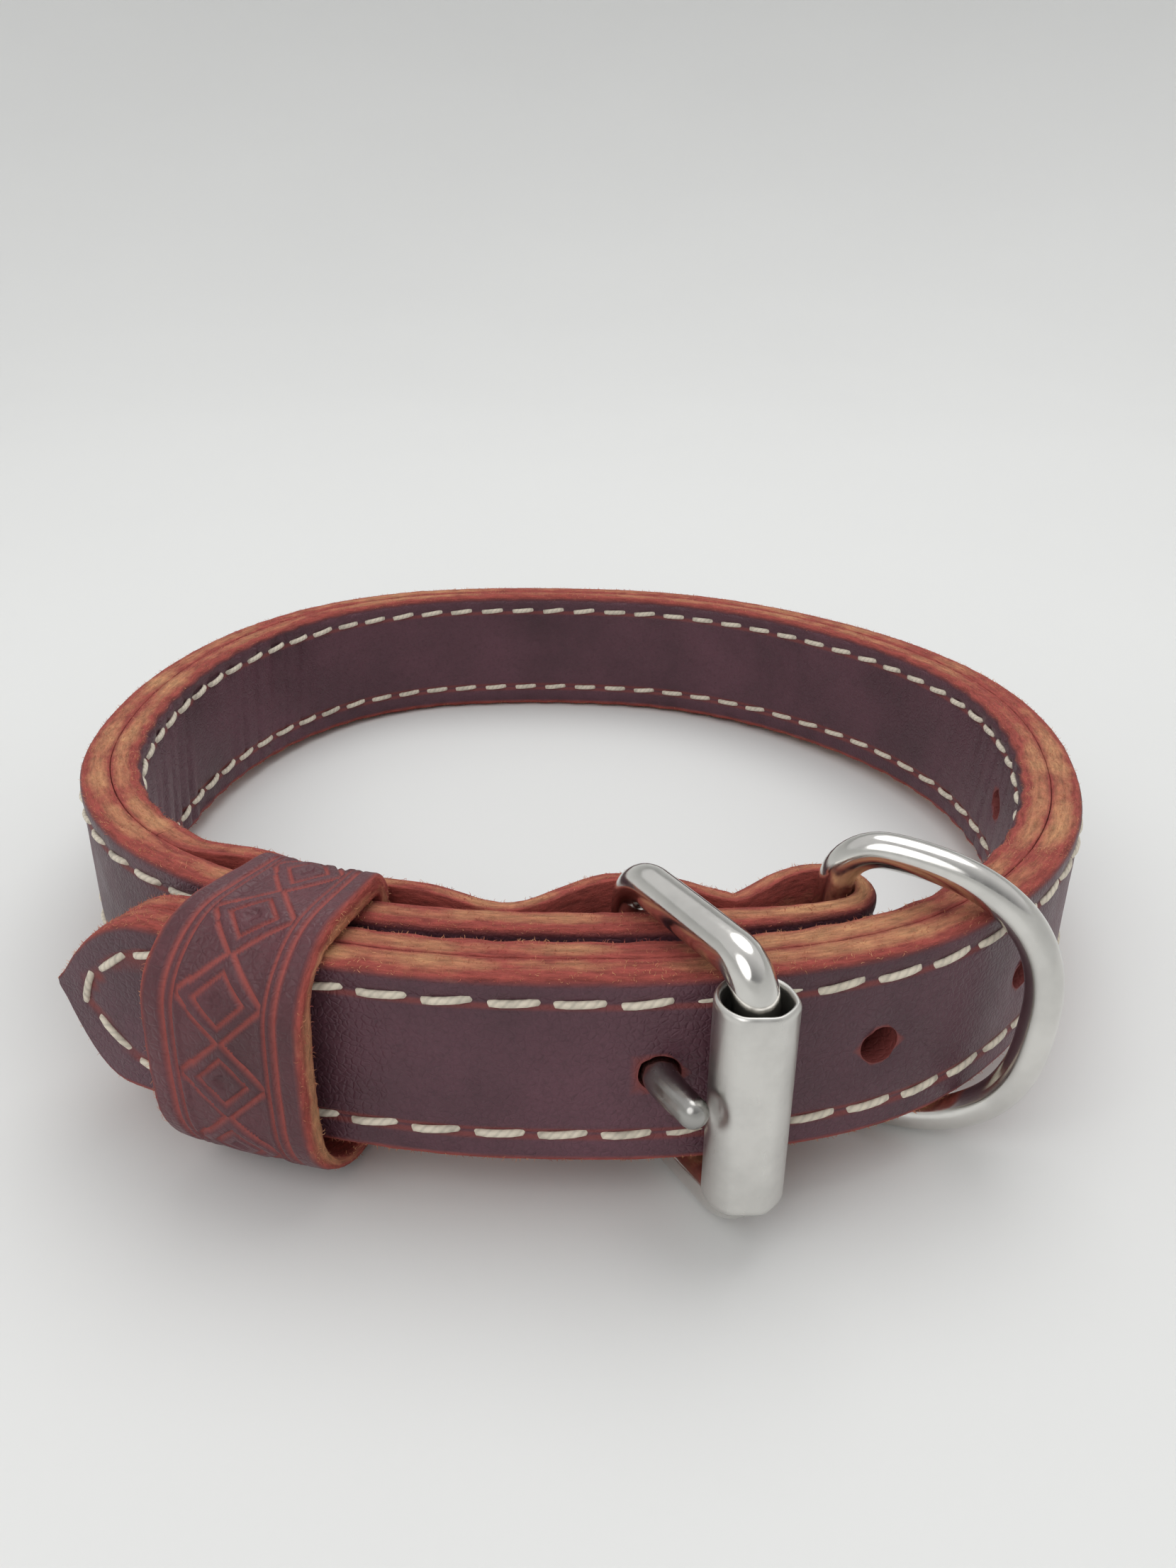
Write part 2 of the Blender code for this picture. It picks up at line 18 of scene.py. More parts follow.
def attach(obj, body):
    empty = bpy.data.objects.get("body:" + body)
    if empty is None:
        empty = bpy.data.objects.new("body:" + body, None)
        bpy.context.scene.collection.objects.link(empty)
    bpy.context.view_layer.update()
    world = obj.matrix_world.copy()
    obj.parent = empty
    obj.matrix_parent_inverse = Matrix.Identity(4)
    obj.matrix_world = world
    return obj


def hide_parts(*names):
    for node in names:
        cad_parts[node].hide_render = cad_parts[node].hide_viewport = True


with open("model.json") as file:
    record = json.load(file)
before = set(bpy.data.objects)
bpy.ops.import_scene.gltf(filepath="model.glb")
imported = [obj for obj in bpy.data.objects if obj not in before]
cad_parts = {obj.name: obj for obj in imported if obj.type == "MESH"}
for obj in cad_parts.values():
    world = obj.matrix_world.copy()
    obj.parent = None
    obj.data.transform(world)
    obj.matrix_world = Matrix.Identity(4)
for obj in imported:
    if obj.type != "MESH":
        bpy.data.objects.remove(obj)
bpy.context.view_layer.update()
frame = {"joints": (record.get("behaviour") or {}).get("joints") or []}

bl_info = {
    "name": "Leather Dog Collar",
    "version": (1, 0, 0),
    "blender": (4, 5, 0),
    "location": "View3D > Sidebar > Collar",
    "description": "Two-ply stitched strap, tooled keeper, roller buckle and D-ring",
    "category": "Object",
}

MM = 0.001
UP = Vector((0, 0, 1))

# The solids' own sizes, which the finished pieces keep
LOOP_RADIUS = 73.7 * MM
STRAP_WIDTH = 25.4 * MM
PLY = 4.2 * MM
SEAM_GAP = 0.3 * MM
LAP_GAP = 0.9 * MM
TURN_BACK_PLY = 2.6 * MM
TIP_TO_FIRST_HOLE = 75.0 * MM
TIP_UPPER_CUT = 17.0 * MM
TIP_LOWER_CUT = 9.5 * MM
TIP_FLARE = 5.9 * MM
HOLE = 5.0 * MM
HOLE_PITCH = 25.4 * MM
HOLES = 5
BUCKLE_WIRE = 5.2 * MM
BUCKLE_INSIDE = STRAP_WIDTH + 2.2 * MM
BUCKLE_REACH = 24.0 * MM
BUCKLE_BEND = 4.4 * MM
ROLLER_WALL = 0.8 * MM
ROLLER_ROOM = 1.1 * MM
ROLLER_PLAY = 0.5 * MM
ROLLER_RIDGE = 0.25 * MM
ROLLER_RIDGE_ANGLE = -12.0
ROLLER_RIDGE_SPREAD = 30.0
DENT_DEPTH = 0.7 * MM
DENT_LENGTH = 6.0 * MM
DENT_SPREAD = 31.0
TONGUE = 4.2 * MM
TONGUE_TIP = 3.6 * MM
TONGUE_EYE_WALL = 1.5 * MM
TONGUE_EYE_WIDTH = 5.0 * MM
TONGUE_END_TURN = -62.0
TONGUE_TO_FRONT_BAR = 8.25 * MM
RING_WIRE = 4.5 * MM
RING_INSIDE = STRAP_WIDTH + 5.8 * MM
RING_REACH = 27.0 * MM
RING_CORNER = 6.2 * MM
RING_FULLNESS = 0.78
RING_LIFT = 1.1 * MM
KEEPER_WIDTH = 17.2 * MM
KEEPER_LEATHER = 2.75 * MM
KEEPER_FRONT_ROOM = 2.2 * MM
KEEPER_TOP_ROOM = 0.9 * MM
KEEPER_BOTTOM_ROOM = 3.6 * MM
KEEPER_TOP_BEND = 5.0 * MM
KEEPER_BOTTOM_BEND = 7.0 * MM
KEEPER_REAR_TOP_BEND = 0.9 * MM
KEEPER_REAR_BOTTOM_BEND = 2.5 * MM
FIT = 0.3 * MM
BAR_ROOM = 0.45 * MM
RING_ROOM = 1.4 * MM
EYE_PLAY = 0.32 * MM
BUCKLE_BEARING = 6.2
RING_BEARING = 28.0
RING_TURN = 66.0
RING_LEAN = -3.5
RING_DIP = 3.6
KEEPER_BEARING = -27.2
BUTT_BEARING = -50.0
FLARE_BEARING = -15.0
FLARE_END = -48.0
TIP_EASE = (30.0, 115.0)
END_EASE = (-85.0, -10.0)

# The plies' finer form: their rounded corners, how far the flesh is raised as a share of half the seam gap,
# the crown, lumps, ripples and pucker of the edges, the face's ripple, and the gap at the inner ply's butt
GRAIN_ROUND = 1.25 * MM
FLESH_ROUND = 0.16 * MM
FLESH_RAISED = 0.7
EDGE_CROWN = 0.12 * MM
EDGE_LUMP = 0.2 * MM
EDGE_RIPPLE = 0.08 * MM
EDGE_PUCKER = 0.4 * MM
FACE_RIPPLE = 0.05 * MM
BUTT_GAP = 0.15 * MM

# The stitch row's groove, the scored line inside it, and the pressed rims of the punched holes
GROOVE_REACH = 1.3 * MM
SCORED_LINE = 0.45 * MM
SCORED_REACH = 0.42 * MM
RIM_DEPTH = 0.35 * MM
RIM_REACH = 0.9 * MM
RIM_END = 5.0 * MM

# From one section of a ply to the next: along the loop, where it is creased, and along the turned back end
SECTION_STEP = 1.4 * MM
CREASE_STEP = 0.7 * MM
TURNED_STEP = 1.5 * MM
TURNED_BEARINGS = 1.2
FOLD_STEPS = 22

# The stitches: the inner row's length as a share, how deep the roller presses them in, and where rows stop
INNER_STITCH = 0.82
ROLLER_PRESS = 0.55 * MM
ROW_END_BEARING = -12.0
ROW_END_GAP = 4.0 * MM

# The keeper's and the roller's finer form
KEEPER_SHOULDER = 2.4 * MM
KEEPER_BULGE = 1.1 * MM
KEEPER_EDGE_ROUND = 0.9 * MM
KEEPER_FLESH_ROUND = 0.25 * MM
KEEPER_CROWN = 0.1 * MM
KEEPER_RAGGED = 0.12 * MM
KEEPER_WEAR = 0.06 * MM
KEEPER_GRAIN = 0.03 * MM
ROLLER_LIP = 0.28 * MM
ROLLER_FLAT = 0.35 * MM
ROLLER_FLAT_ANGLE = -88.0

# The neck loop's seam seen from above: bearing in degrees, radius as a share of LOOP_RADIUS
LOOP_OUTLINE = (
    (0, 0.951),
    (15, 0.962),
    (30, 0.985),
    (45, 0.984),
    (60, 0.979),
    (75, 0.977),
    (90, 0.989),
    (105, 0.997),
    (120, 0.990),
    (135, 0.984),
    (150, 0.991),
    (165, 1.001),
    (180, 1.006),
    (195, 1.035),
    (208, 1.077),
    (220, 1.093),
    (232, 1.078),
    (245, 1.048),
    (260, 1.018),
    (275, 1.007),
    (290, 1.017),
    (305, 1.021),
    (320, 1.006),
    (335, 0.984),
    (350, 0.960),
)

# Where the turned back end parts from the strap: piece, bearing, half its flat, spread beyond it (degrees)
PARTING = (
    ("buckle", BUCKLE_BEARING, 1.0, 13.0),
    ("ring", RING_BEARING, 1.0, 13.0),
    ("keeper", KEEPER_BEARING, 9.0, 11.0),
)

# The stitch line round the pointed end: distance from the point and height in mm, from the upper row to the
# lower. The first and last rows only steer the curve
TIP_STITCH_LINE = (
    (30.0, 9.6),
    (24.0, 9.6),
    (18.5, 9.3),
    (14.2, 8.2),
    (10.5, 6.2),
    (7.2, 3.2),
    (5.0, -0.3),
    (7.4, -3.6),
    (11.2, -6.8),
    (15.5, -8.2),
    (21.0, -8.4),
    (30.0, -8.4),
)

# The keeper's tooling: from its border to the second border line, and to the field of diamonds
SECOND_BORDER = 1.0 * MM
FIELD_INSET = 1.5 * MM

# The stitches' random turn in radians and its seed, the most grain and the least across that nap grows at,
# its tilt in radians and its shortest share
STITCH_WOBBLE = 0.06
STITCH_SEED = 3
NAP_GRAIN = 0.35
NAP_ACROSS = 0.02
NAP_TILT = 0.85
NAP_SHORTEST = 0.35

# Turns of the thread in one stitch and its strands, and how far the leather's pebbles are bent
THREAD_TURNS = 5
THREAD_STRANDS = 2
PEBBLE_WARP = 1.2 * MM

# Where the strap's inner face is pressed together: first and last bearing, depth of its creases (mm)
CREASE_ZONES = (
    (-140, -66, 0.8),
    (52, 112, 0.65),
)
CREASE_SPACING = 4.2 * MM

# The stage: the table's flat radius and the radius of the cove round it
TABLE_FLAT = 0.5
COVE = 1.1

# The lights: place, what they point at, and diameter, in metres
KEY_LIGHT = ((0.15, 0.35, 1.0), (0.0, 0.0, 0.0), 0.9)
FILL_LIGHT = ((-0.45, -0.7, 0.9), (0.0, 0.0, 0.02), 0.9)

# The camera, by the photograph: place in metres, turn in degrees, and its focal length for a 36 mm side
CAMERA_PLACE = (0.00121, -0.1759, 0.10935)
CAMERA_TURN = (62.52, -0.775, 0.305)
CAMERA_LENS = 26.853


# Settings


def length_setting(name, description, default):
    return FloatProperty(name=name, description=description, default=default, unit="LENGTH")


def share_setting(name, description, default):
    return FloatProperty(name=name, description=description, default=default, min=0, max=1)


def amount_setting(name, description, default):
    return FloatProperty(name=name, description=description, default=default, min=0)


def colour_setting(name, description, default):
    return FloatVectorProperty(
        name=name,
        description=description,
        default=default,
        subtype="COLOR",
        min=0,
        max=1,
    )


class CollarStitchSettings(bpy.types.PropertyGroup):
    """Sizes and colour of the saddle stitches."""

    pitch: length_setting("Pitch", "From one stitch to the next", 7.1 * MM)
    length: length_setting("Length", "Length of a stitch", 6.3 * MM)
    thread: length_setting("Thread", "Thickness of the thread", 1.0 * MM)
    slant: FloatProperty(
        name="Slant",
        description="Turn of each stitch against its row",
        default=math.radians(5),
        subtype="ANGLE",
    )
    groove: length_setting("Groove", "Depth of the row's groove", 0.32 * MM)
    colour: colour_setting("Thread colour", "Waxed thread", (0.78, 0.70, 0.57))


class CollarLeatherSettings(bpy.types.PropertyGroup):
    """Colours of the leather and the nap on its cut edges."""

    grain: colour_setting("Grain", "Waxed burgundy face of the strap", (0.098, 0.038, 0.053))
    keeper: colour_setting("Keeper", "Redder face of the keeper", (0.112, 0.034, 0.043))
    tan: colour_setting("Edge tan", "Undyed middle of the cut edges", (0.66, 0.325, 0.165))
    dye: colour_setting("Edge dye", "Dye that ran into the cut edges", (0.42, 0.088, 0.070))
    nap_density: amount_setting("Nap density", "Fibres on a square metre of cut edge", 2350000.0)
    nap_length: length_setting("Nap length", "Longest fibre", 0.6 * MM)
    seed: IntProperty(name="Seed", description="Fixed seed of the nap", default=7)


class CollarToolingSettings(bpy.types.PropertyGroup):
    """The keeper's tooled border and row of diamonds."""

    depth: length_setting("Depth", "Depth of the tool lines", 0.42 * MM)
    line: length_setting("Line", "Half width of a tool line", 0.33 * MM)
    border: length_setting("Border", "From the keeper's middle to its border line", 5.9 * MM)
    diamond: length_setting("Diamond", "Height of one diamond", 10.4 * MM)


class CollarMetalSettings(bpy.types.PropertyGroup):
    """Finish of the buckle and the ring."""

    steel: colour_setting("Steel", "Nickel-plated steel", (0.70, 0.685, 0.655))
    polish: share_setting("Polish", "Roughness of the polished wire", 0.13)
    brushed: share_setting("Brushed", "Roughness of the roller", 0.30)


class CollarStageSettings(bpy.types.PropertyGroup):
    """Floor and lights."""

    floor: colour_setting("Floor", "Pale table", (0.80, 0.805, 0.795))
    sky: amount_setting("Surround", "Strength of the surrounding light", 0.73)
    key: amount_setting("Key", "Power of the overhead light in watts", 3.9)
    fill: amount_setting("Fill", "Power of the front light in watts", 3.2)


# The collar's route


def ease(value, low, high):
    """0 below low, 1 above high, smooth in between."""
    share = min(max((value - low) / (high - low), 0.0), 1.0)
    return share * share * (3 - 2 * share)


def outward(bearing):
    angle = math.radians(bearing)
    return Vector((math.sin(angle), -math.cos(angle), 0))


def outline_radius(bearing):
    """The loop's radius at a bearing, by a smooth curve through LOOP_OUTLINE."""
    bearing %= 360
    rows = LOOP_OUTLINE
    count = len(rows)
    index = max(i for i in range(count) if rows[i][0] <= bearing)
    picked = [rows[(index + step) % count] for step in (-1, 0, 1, 2)]
    start = picked[1][0]
    places = [(row[0] - start + 180) % 360 - 180 for row in picked]
    shares = [row[1] for row in picked]
    span = places[2]
    part = (bearing - start) / span
    slope_1 = (shares[2] - shares[0]) / (places[2] - places[0]) * span
    slope_2 = (shares[3] - shares[1]) / (places[3] - places[1]) * span
    cube, square = part ** 3, part ** 2
    share = (
        (2 * cube - 3 * square + 1) * shares[1]
        + (cube - 2 * square + part) * slope_1
        + (3 * square - 2 * cube) * shares[2]
        + (cube - square) * slope_2
    )
    return share * LOOP_RADIUS


HALF_WIDTH = STRAP_WIDTH / 2
LAP = PLY + SEAM_GAP + LAP_GAP / 2
FLESH = SEAM_GAP / 2
GRAIN = FLESH + PLY


def seam(bearing):
    """The strap's seam line. Bearings run on from the tip (below 0) to the buckle end (above 360)."""
    radius = outline_radius(bearing)
    if bearing < 180:
        radius += LAP * (1 - ease(bearing, *TIP_EASE))
    else:
        radius -= LAP * ease(bearing - 360, *END_EASE)
    past = max(FLARE_BEARING - bearing, 0) / (FLARE_BEARING - FLARE_END)
    return outward(bearing) * (radius + TIP_FLARE * past ** 2)


def seam_normal(bearing):
    along = seam(bearing + 0.5) - seam(bearing - 0.5)
    return Vector((along.y, -along.x, 0)).normalized()


def seam_offset(bearing, distance):
    """A point of the strap at a distance outside its seam, or inside it when negative."""
    return seam(bearing) + seam_normal(bearing) * distance


def bearing_after(bearing, length, step=0.25):
    """The bearing reached by going a length along the seam, backwards when it is negative."""
    turn = math.copysign(step, length)
    left = abs(length)
    here = seam(bearing)
    while left > 0:
        there = seam(bearing + turn)
        run = (there - here).length
        if run >= left:
            return bearing + turn * left / run
        left -= run
        bearing += turn
        here = there
    return bearing


HINGE_BAR = seam_offset(360 + BUCKLE_BEARING, FLESH - BAR_ROOM - BUCKLE_WIRE / 2)
RING_BAR = seam_offset(360 + RING_BEARING, GRAIN - TURN_BACK_PLY - RING_ROOM - RING_WIRE / 2)
RAIL_HEIGHT = (BUCKLE_INSIDE + BUCKLE_WIRE) / 2
EYE_RADIUS = BUCKLE_WIRE / 2 + EYE_PLAY + TONGUE_EYE_WALL
ROLLER = BUCKLE_WIRE + 2 * (ROLLER_ROOM + ROLLER_WALL)
ROLLER_STAND = GRAIN + FIT + ROLLER / 2


def front_bar_bearing():
    low, high = BUCKLE_BEARING, 90.0
    for _ in range(40):
        middle = (low + high) / 2
        if (seam_offset(middle, ROLLER_STAND) - HINGE_BAR).length < BUCKLE_REACH:
            low = middle
        else:
            high = middle
    return low


FRONT_BAR_BEARING = front_bar_bearing()
FRONT_BAR = seam_offset(FRONT_BAR_BEARING, ROLLER_STAND)
TONGUE_BEARING = bearing_after(FRONT_BAR_BEARING, -TONGUE_TO_FRONT_BAR)
TIP_BEARING = bearing_after(TONGUE_BEARING, -TIP_TO_FIRST_HOLE)
TONGUE_AXIS = (seam_offset(TONGUE_BEARING, GRAIN) - HINGE_BAR).normalized()


def table_matrix():
    """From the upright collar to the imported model's own frame, by the roller's pin."""
    pin = next(joint for joint in frame["joints"] if joint["name"] == "roller_spin")
    turn = UP.rotation_difference(Vector(pin["axis"])).to_matrix().to_4x4()
    return Matrix.Translation(Vector(pin["pos_m"]) - turn @ FRONT_BAR) @ turn


TO_TABLE = table_matrix()


def route_table():
    """Bearings and distances from the tip, every quarter degree as far as the ring's bar."""
    bearings = [TIP_BEARING]
    while bearings[-1] + 0.25 < 360 + RING_BEARING:
        bearings.append(bearings[-1] + 0.25)
    bearings.append(360 + RING_BEARING)
    places = [seam(bearing) for bearing in bearings]
    distances = [0.0]
    for before, after in zip(places, places[1:]):
        distances.append(distances[-1] + (after - before).length)
    return np.array(bearings), np.array(distances)


ROUTE_BEARINGS, ROUTE_DISTANCES = route_table()


def bearing_at(distance):
    """The bearing at a distance from the tip, along the seam."""
    return float(np.interp(distance, ROUTE_DISTANCES, ROUTE_BEARINGS))


def distance_at(bearing):
    return float(np.interp(bearing, ROUTE_BEARINGS, ROUTE_DISTANCES))


def tip_heights(distance):
    """The strap's lower and upper edge at a distance from the tip."""
    run = distance + TIP_UPPER_CUT * 0.02
    upper = 1 - (1 - min(run / TIP_UPPER_CUT, 1)) ** 2
    lower = 1 - (1 - min(run / TIP_LOWER_CUT, 1)) ** 2
    return -HALF_WIDTH * lower, HALF_WIDTH * upper


PARTING_PEAKS = {
    "buckle": BAR_ROOM + BUCKLE_WIRE / 2 + EYE_RADIUS + BAR_ROOM - FLESH,
    "ring": 2 * RING_ROOM + RING_WIRE - (GRAIN - TURN_BACK_PLY),
    "keeper": KEEPER_LEATHER + 2 * BAR_ROOM,
}


def parting(bearing):
    """How far the turned back end stands behind the seam, over the bars and the keeper."""
    total = FLESH ** 4
    for name, place, flat, spread in PARTING:
        away = max(abs(bearing - 360 - place) - flat, 0) / spread
        share = 0.5 + 0.5 * math.cos(math.pi * min(away, 1))
        total += (PARTING_PEAKS[name] * share) ** 4
    return total ** 0.25


def smooth_point(a, b, c, d, t):
    """A point between b and c on the smooth curve through a, b, c and d."""
    square, cube = t ** 2, t ** 3
    return 0.5 * (2 * b + (c - a) * t + (2 * a - 5 * b + 4 * c - d) * square + (3 * b - a - 3 * c + d) * cube)


def tip_stitch_line():
    """TIP_STITCH_LINE as a smooth line of close points, in metres."""
    rows = [Vector((d, z)) * MM for d, z in TIP_STITCH_LINE]
    line = []
    for i in range(1, len(rows) - 2):
        line += [smooth_point(*rows[i - 1:i + 3], k / 8) for k in range(8)]
    line.append(rows[-2])
    return line


TIP_LINE = tip_stitch_line()
TIP_LINE_ARRAY = np.array([(point.x, point.y) for point in TIP_LINE])
UPPER_ROW = TIP_LINE[0].y
LOWER_ROW = TIP_LINE[-1].y


def row_distance(distance, height):
    """How far a place on the strap's face is from the stitch line."""
    if distance > TIP_LINE[0].x:
        return min(abs(height - UPPER_ROW), abs(height - LOWER_ROW))
    gaps = TIP_LINE_ARRAY - (distance, height)
    return float(np.sqrt((gaps ** 2).sum(axis=1)).min())


# Meshes


def place_mesh(name, points, faces, finish=None, route=None):
    """A mesh laid on the table, faces outwards. Leather also has its finish and its route as attributes."""
    mesh = bpy.data.meshes.new(name)
    placed = [TO_TABLE @ point for point in points]
    mesh.from_pydata(placed, [], faces)
    if finish is not None:
        layer = mesh.color_attributes.new("finish", "FLOAT_COLOR", "POINT")
        layer.data.foreach_set("color", np.array(finish, np.float32).ravel())
    if route is not None:
        layer = mesh.attributes.new("route", "FLOAT_VECTOR", "POINT")
        layer.data.foreach_set("vector", np.array(route, np.float32).ravel())
    build = bmesh.new()
    build.from_mesh(mesh)
    bmesh.ops.recalc_face_normals(build, faces=build.faces)
    build.to_mesh(mesh)
    build.free()
    mesh.shade_smooth()
    return mesh


def skin(sections, closed=False):
    """Points and faces through sections of equal counts: capped at its ends, or closed on itself."""
    count = len(sections[0])
    points = [point for section in sections for point in section]
    faces = []
    rows = len(sections)
    for r in range(rows if closed else rows - 1):
        low, high = r * count, (r + 1) % rows * count
        for i in range(count):
            j = (i + 1) % count
            faces.append((low + i, low + j, high + j, high + i))
    if not closed:
        faces.append(tuple(range(count)))
        faces.append(tuple(reversed(range((rows - 1) * count, rows * count))))
    return points, faces


def wire_sections(path, radii, sides, closed=False):
    """Round sections across a path, one for each of its points, without twist."""
    count = len(path)
    sections = []
    across = None
    for i, point in enumerate(path):
        before = path[i - 1] if closed or i else path[i]
        after = path[(i + 1) % count] if closed or i < count - 1 else path[i]
        along = (after - before).normalized()
        if across is None:
            across = along.orthogonal()
        across = (across - along * across.dot(along)).normalized()
        other = along.cross(across)
        section = []
        for k in range(sides):
            angle = 2 * math.pi * k / sides
            section.append(point + (across * math.cos(angle) + other * math.sin(angle)) * radii[i])
        sections.append(section)
    return sections


def arc(centre, start, finish, steps):
    angle = start.angle(finish)
    axis = start.cross(finish).normalized()
    return [centre + Matrix.Rotation(angle * i / steps, 3, axis) @ start for i in range(steps + 1)]


def new_piece(name, mesh, material):
    piece = bpy.data.objects.new(name, mesh)
    bpy.context.scene.collection.objects.link(piece)
    mesh.materials.clear()
    mesh.materials.append(material)
    return piece


def round_bar(name, start, finish, radius, sides=40):
    """A plain closed cylinder, used as a cutter or as part of a piece."""
    points, faces = skin(wire_sections([start, finish], [radius, radius], sides))
    body = bpy.data.objects.new(name, place_mesh(name, points, faces))
    bpy.context.scene.collection.objects.link(body)
    return body


def combine(piece, other, operation):
    """Cuts other from the piece, or joins it on, and removes other."""
    modifier = piece.modifiers.new("combine", "BOOLEAN")
    modifier.operation = operation
    modifier.solver = "EXACT"
    modifier.object = other
    bake_modifiers(piece)
    bpy.data.objects.remove(other)


def bake_modifiers(piece):
    """The piece's mesh becomes what its modifiers show, and they are removed."""
    depsgraph = bpy.context.evaluated_depsgraph_get()
    mesh = bpy.data.meshes.new_from_object(piece.evaluated_get(depsgraph), depsgraph=depsgraph)
    piece.modifiers.clear()
    old = piece.data
    piece.data = mesh
    bpy.data.meshes.remove(old)


# Nodes


class Graph:
    """Adds nodes to a node tree. An input is fed a value or another node's socket."""

    def __init__(self, tree):
        self.tree = tree

    def feed(self, node, inputs):
        for name, value in inputs.items():
            socket = node.inputs[name]
            if isinstance(value, bpy.types.NodeSocket):
                self.tree.links.new(value, socket)
            elif socket.type == "RGBA":
                socket.default_value = (*value, 1)
            else:
                socket.default_value = value
        return node

    def add(self, kind, inputs=None, **settings):
        node = self.tree.nodes.new(kind)
        for name, value in settings.items():
            setattr(node, name, value)
        return self.feed(node, inputs or {})

    def attribute(self, name):
        return self.add("ShaderNodeAttribute", attribute_name=name).outputs

    def math(self, operation, first, second=0.0):
        return self.add("ShaderNodeMath", {0: first, 1: second}, operation=operation).outputs[0]

    def plus(self, first, second):
        return self.math("ADD", first, second)

    def times(self, first, second):
        return self.math("MULTIPLY", first, second)

    def noise(self, place, scale, detail, rough=0.5, stretch=None):
        """A noise texture, stretched by a Mapping node where asked."""
        if stretch:
            place = self.add("ShaderNodeMapping", {"Vector": place, "Scale": stretch}).outputs["Vector"]
        inputs = {"Vector": place, "Scale": scale, "Detail": detail, "Roughness": rough}
        return self.add("ShaderNodeTexNoise", inputs).outputs["Fac"]

    def ramp(self, factor, *stops):
        """A ramp through stops of a position with its grey or its colour."""
        node = self.add("ShaderNodeValToRGB", {"Fac": factor})
        elements = node.color_ramp.elements
        elements[0].position = stops[0][0]
        elements[1].position = stops[-1][0]
        for position, _ in stops[1:-1]:
            elements.new(position)
        for element, (_, value) in zip(elements, stops):
            element.color = (*value, 1) if isinstance(value, tuple) else (value, value, value, 1)
        return node.outputs["Color"]

    def mix(self, factor, first, second, blend="MIX"):
        node = self.add("ShaderNodeMix", data_type="RGBA", blend_type=blend)
        return self.feed(node, {0: factor, 6: first, 7: second}).outputs[2]

    def bump(self, height, strength, depth):
        inputs = {"Height": height, "Strength": strength, "Distance": depth}
        return self.add("ShaderNodeBump", inputs).outputs["Normal"]


def node_tree(name, inputs):
    """A Geometry Nodes tree with named inputs: its graph, its inputs' sockets and its output node."""
    tree = bpy.data.node_groups.new(name, "GeometryNodeTree")
    tree.interface.new_socket(name="Geometry", in_out="INPUT", socket_type="NodeSocketGeometry")
    tree.interface.new_socket(name="Geometry", in_out="OUTPUT", socket_type="NodeSocketGeometry")
    for label, kind in inputs:
        tree.interface.new_socket(name=label, in_out="INPUT", socket_type=f"NodeSocket{kind}")
    graph = Graph(tree)
    return graph, graph.add("NodeGroupInput").outputs, graph.add("NodeGroupOutput")


def finish_tree(graph, instances, given, output):
    """Ends a tree in Realize Instances and Set Material."""
    real = graph.add("GeometryNodeRealizeInstances", {"Geometry": instances})
    inputs = {"Geometry": real.outputs["Geometry"], "Material": given["Material"]}
    paint = graph.add("GeometryNodeSetMaterial", inputs)
    graph.feed(output, {"Geometry": paint.outputs["Geometry"]})
    return graph.tree


def stitch_tree():
    """Lays the stitch on each point by its turn, scaled to length and thickness, with a small random turn."""
    inputs = (
        ("Stitch", "Object"),
        ("Length", "Float"),
        ("Thickness", "Float"),
        ("Slant", "Float"),
        ("Seed", "Int"),
        ("Material", "Material"),
    )
    graph, given, output = node_tree("laid_stitches", inputs)
    stitch = graph.add("GeometryNodeObjectInfo", {"Object": given["Stitch"]})
    turn = graph.add("GeometryNodeInputNamedAttribute", {"Name": "turn"}, data_type="FLOAT_VECTOR")
    laid = graph.add("FunctionNodeEulerToRotation", {"Euler": turn.outputs["Attribute"]})
    spread = {"Min": -STITCH_WOBBLE, "Max": STITCH_WOBBLE, "Seed": given["Seed"]}
    wobble = graph.add("FunctionNodeRandomValue", spread, data_type="FLOAT")
    angle = graph.plus(wobble.outputs[1], given["Slant"])
    spin = graph.add("FunctionNodeAxisAngleToRotation", {"Axis": (0, 0, 1), "Angle": angle})
    turns = {0: laid.outputs[0], 1: spin.outputs[0]}
    rotate = graph.add("FunctionNodeRotateRotation", turns, rotation_space="LOCAL")
    sizes = {"X": given["Length"], "Y": given["Thickness"], "Z": given["Thickness"]}
    size = graph.add("ShaderNodeCombineXYZ", sizes)
    inputs = {
        "Points": given["Geometry"],
        "Instance": stitch.outputs["Geometry"],
        "Rotation": rotate.outputs[0],
        "Scale": size.outputs["Vector"],
    }
    lay = graph.add("GeometryNodeInstanceOnPoints", inputs)
    return finish_tree(graph, lay.outputs["Instances"], given, output)


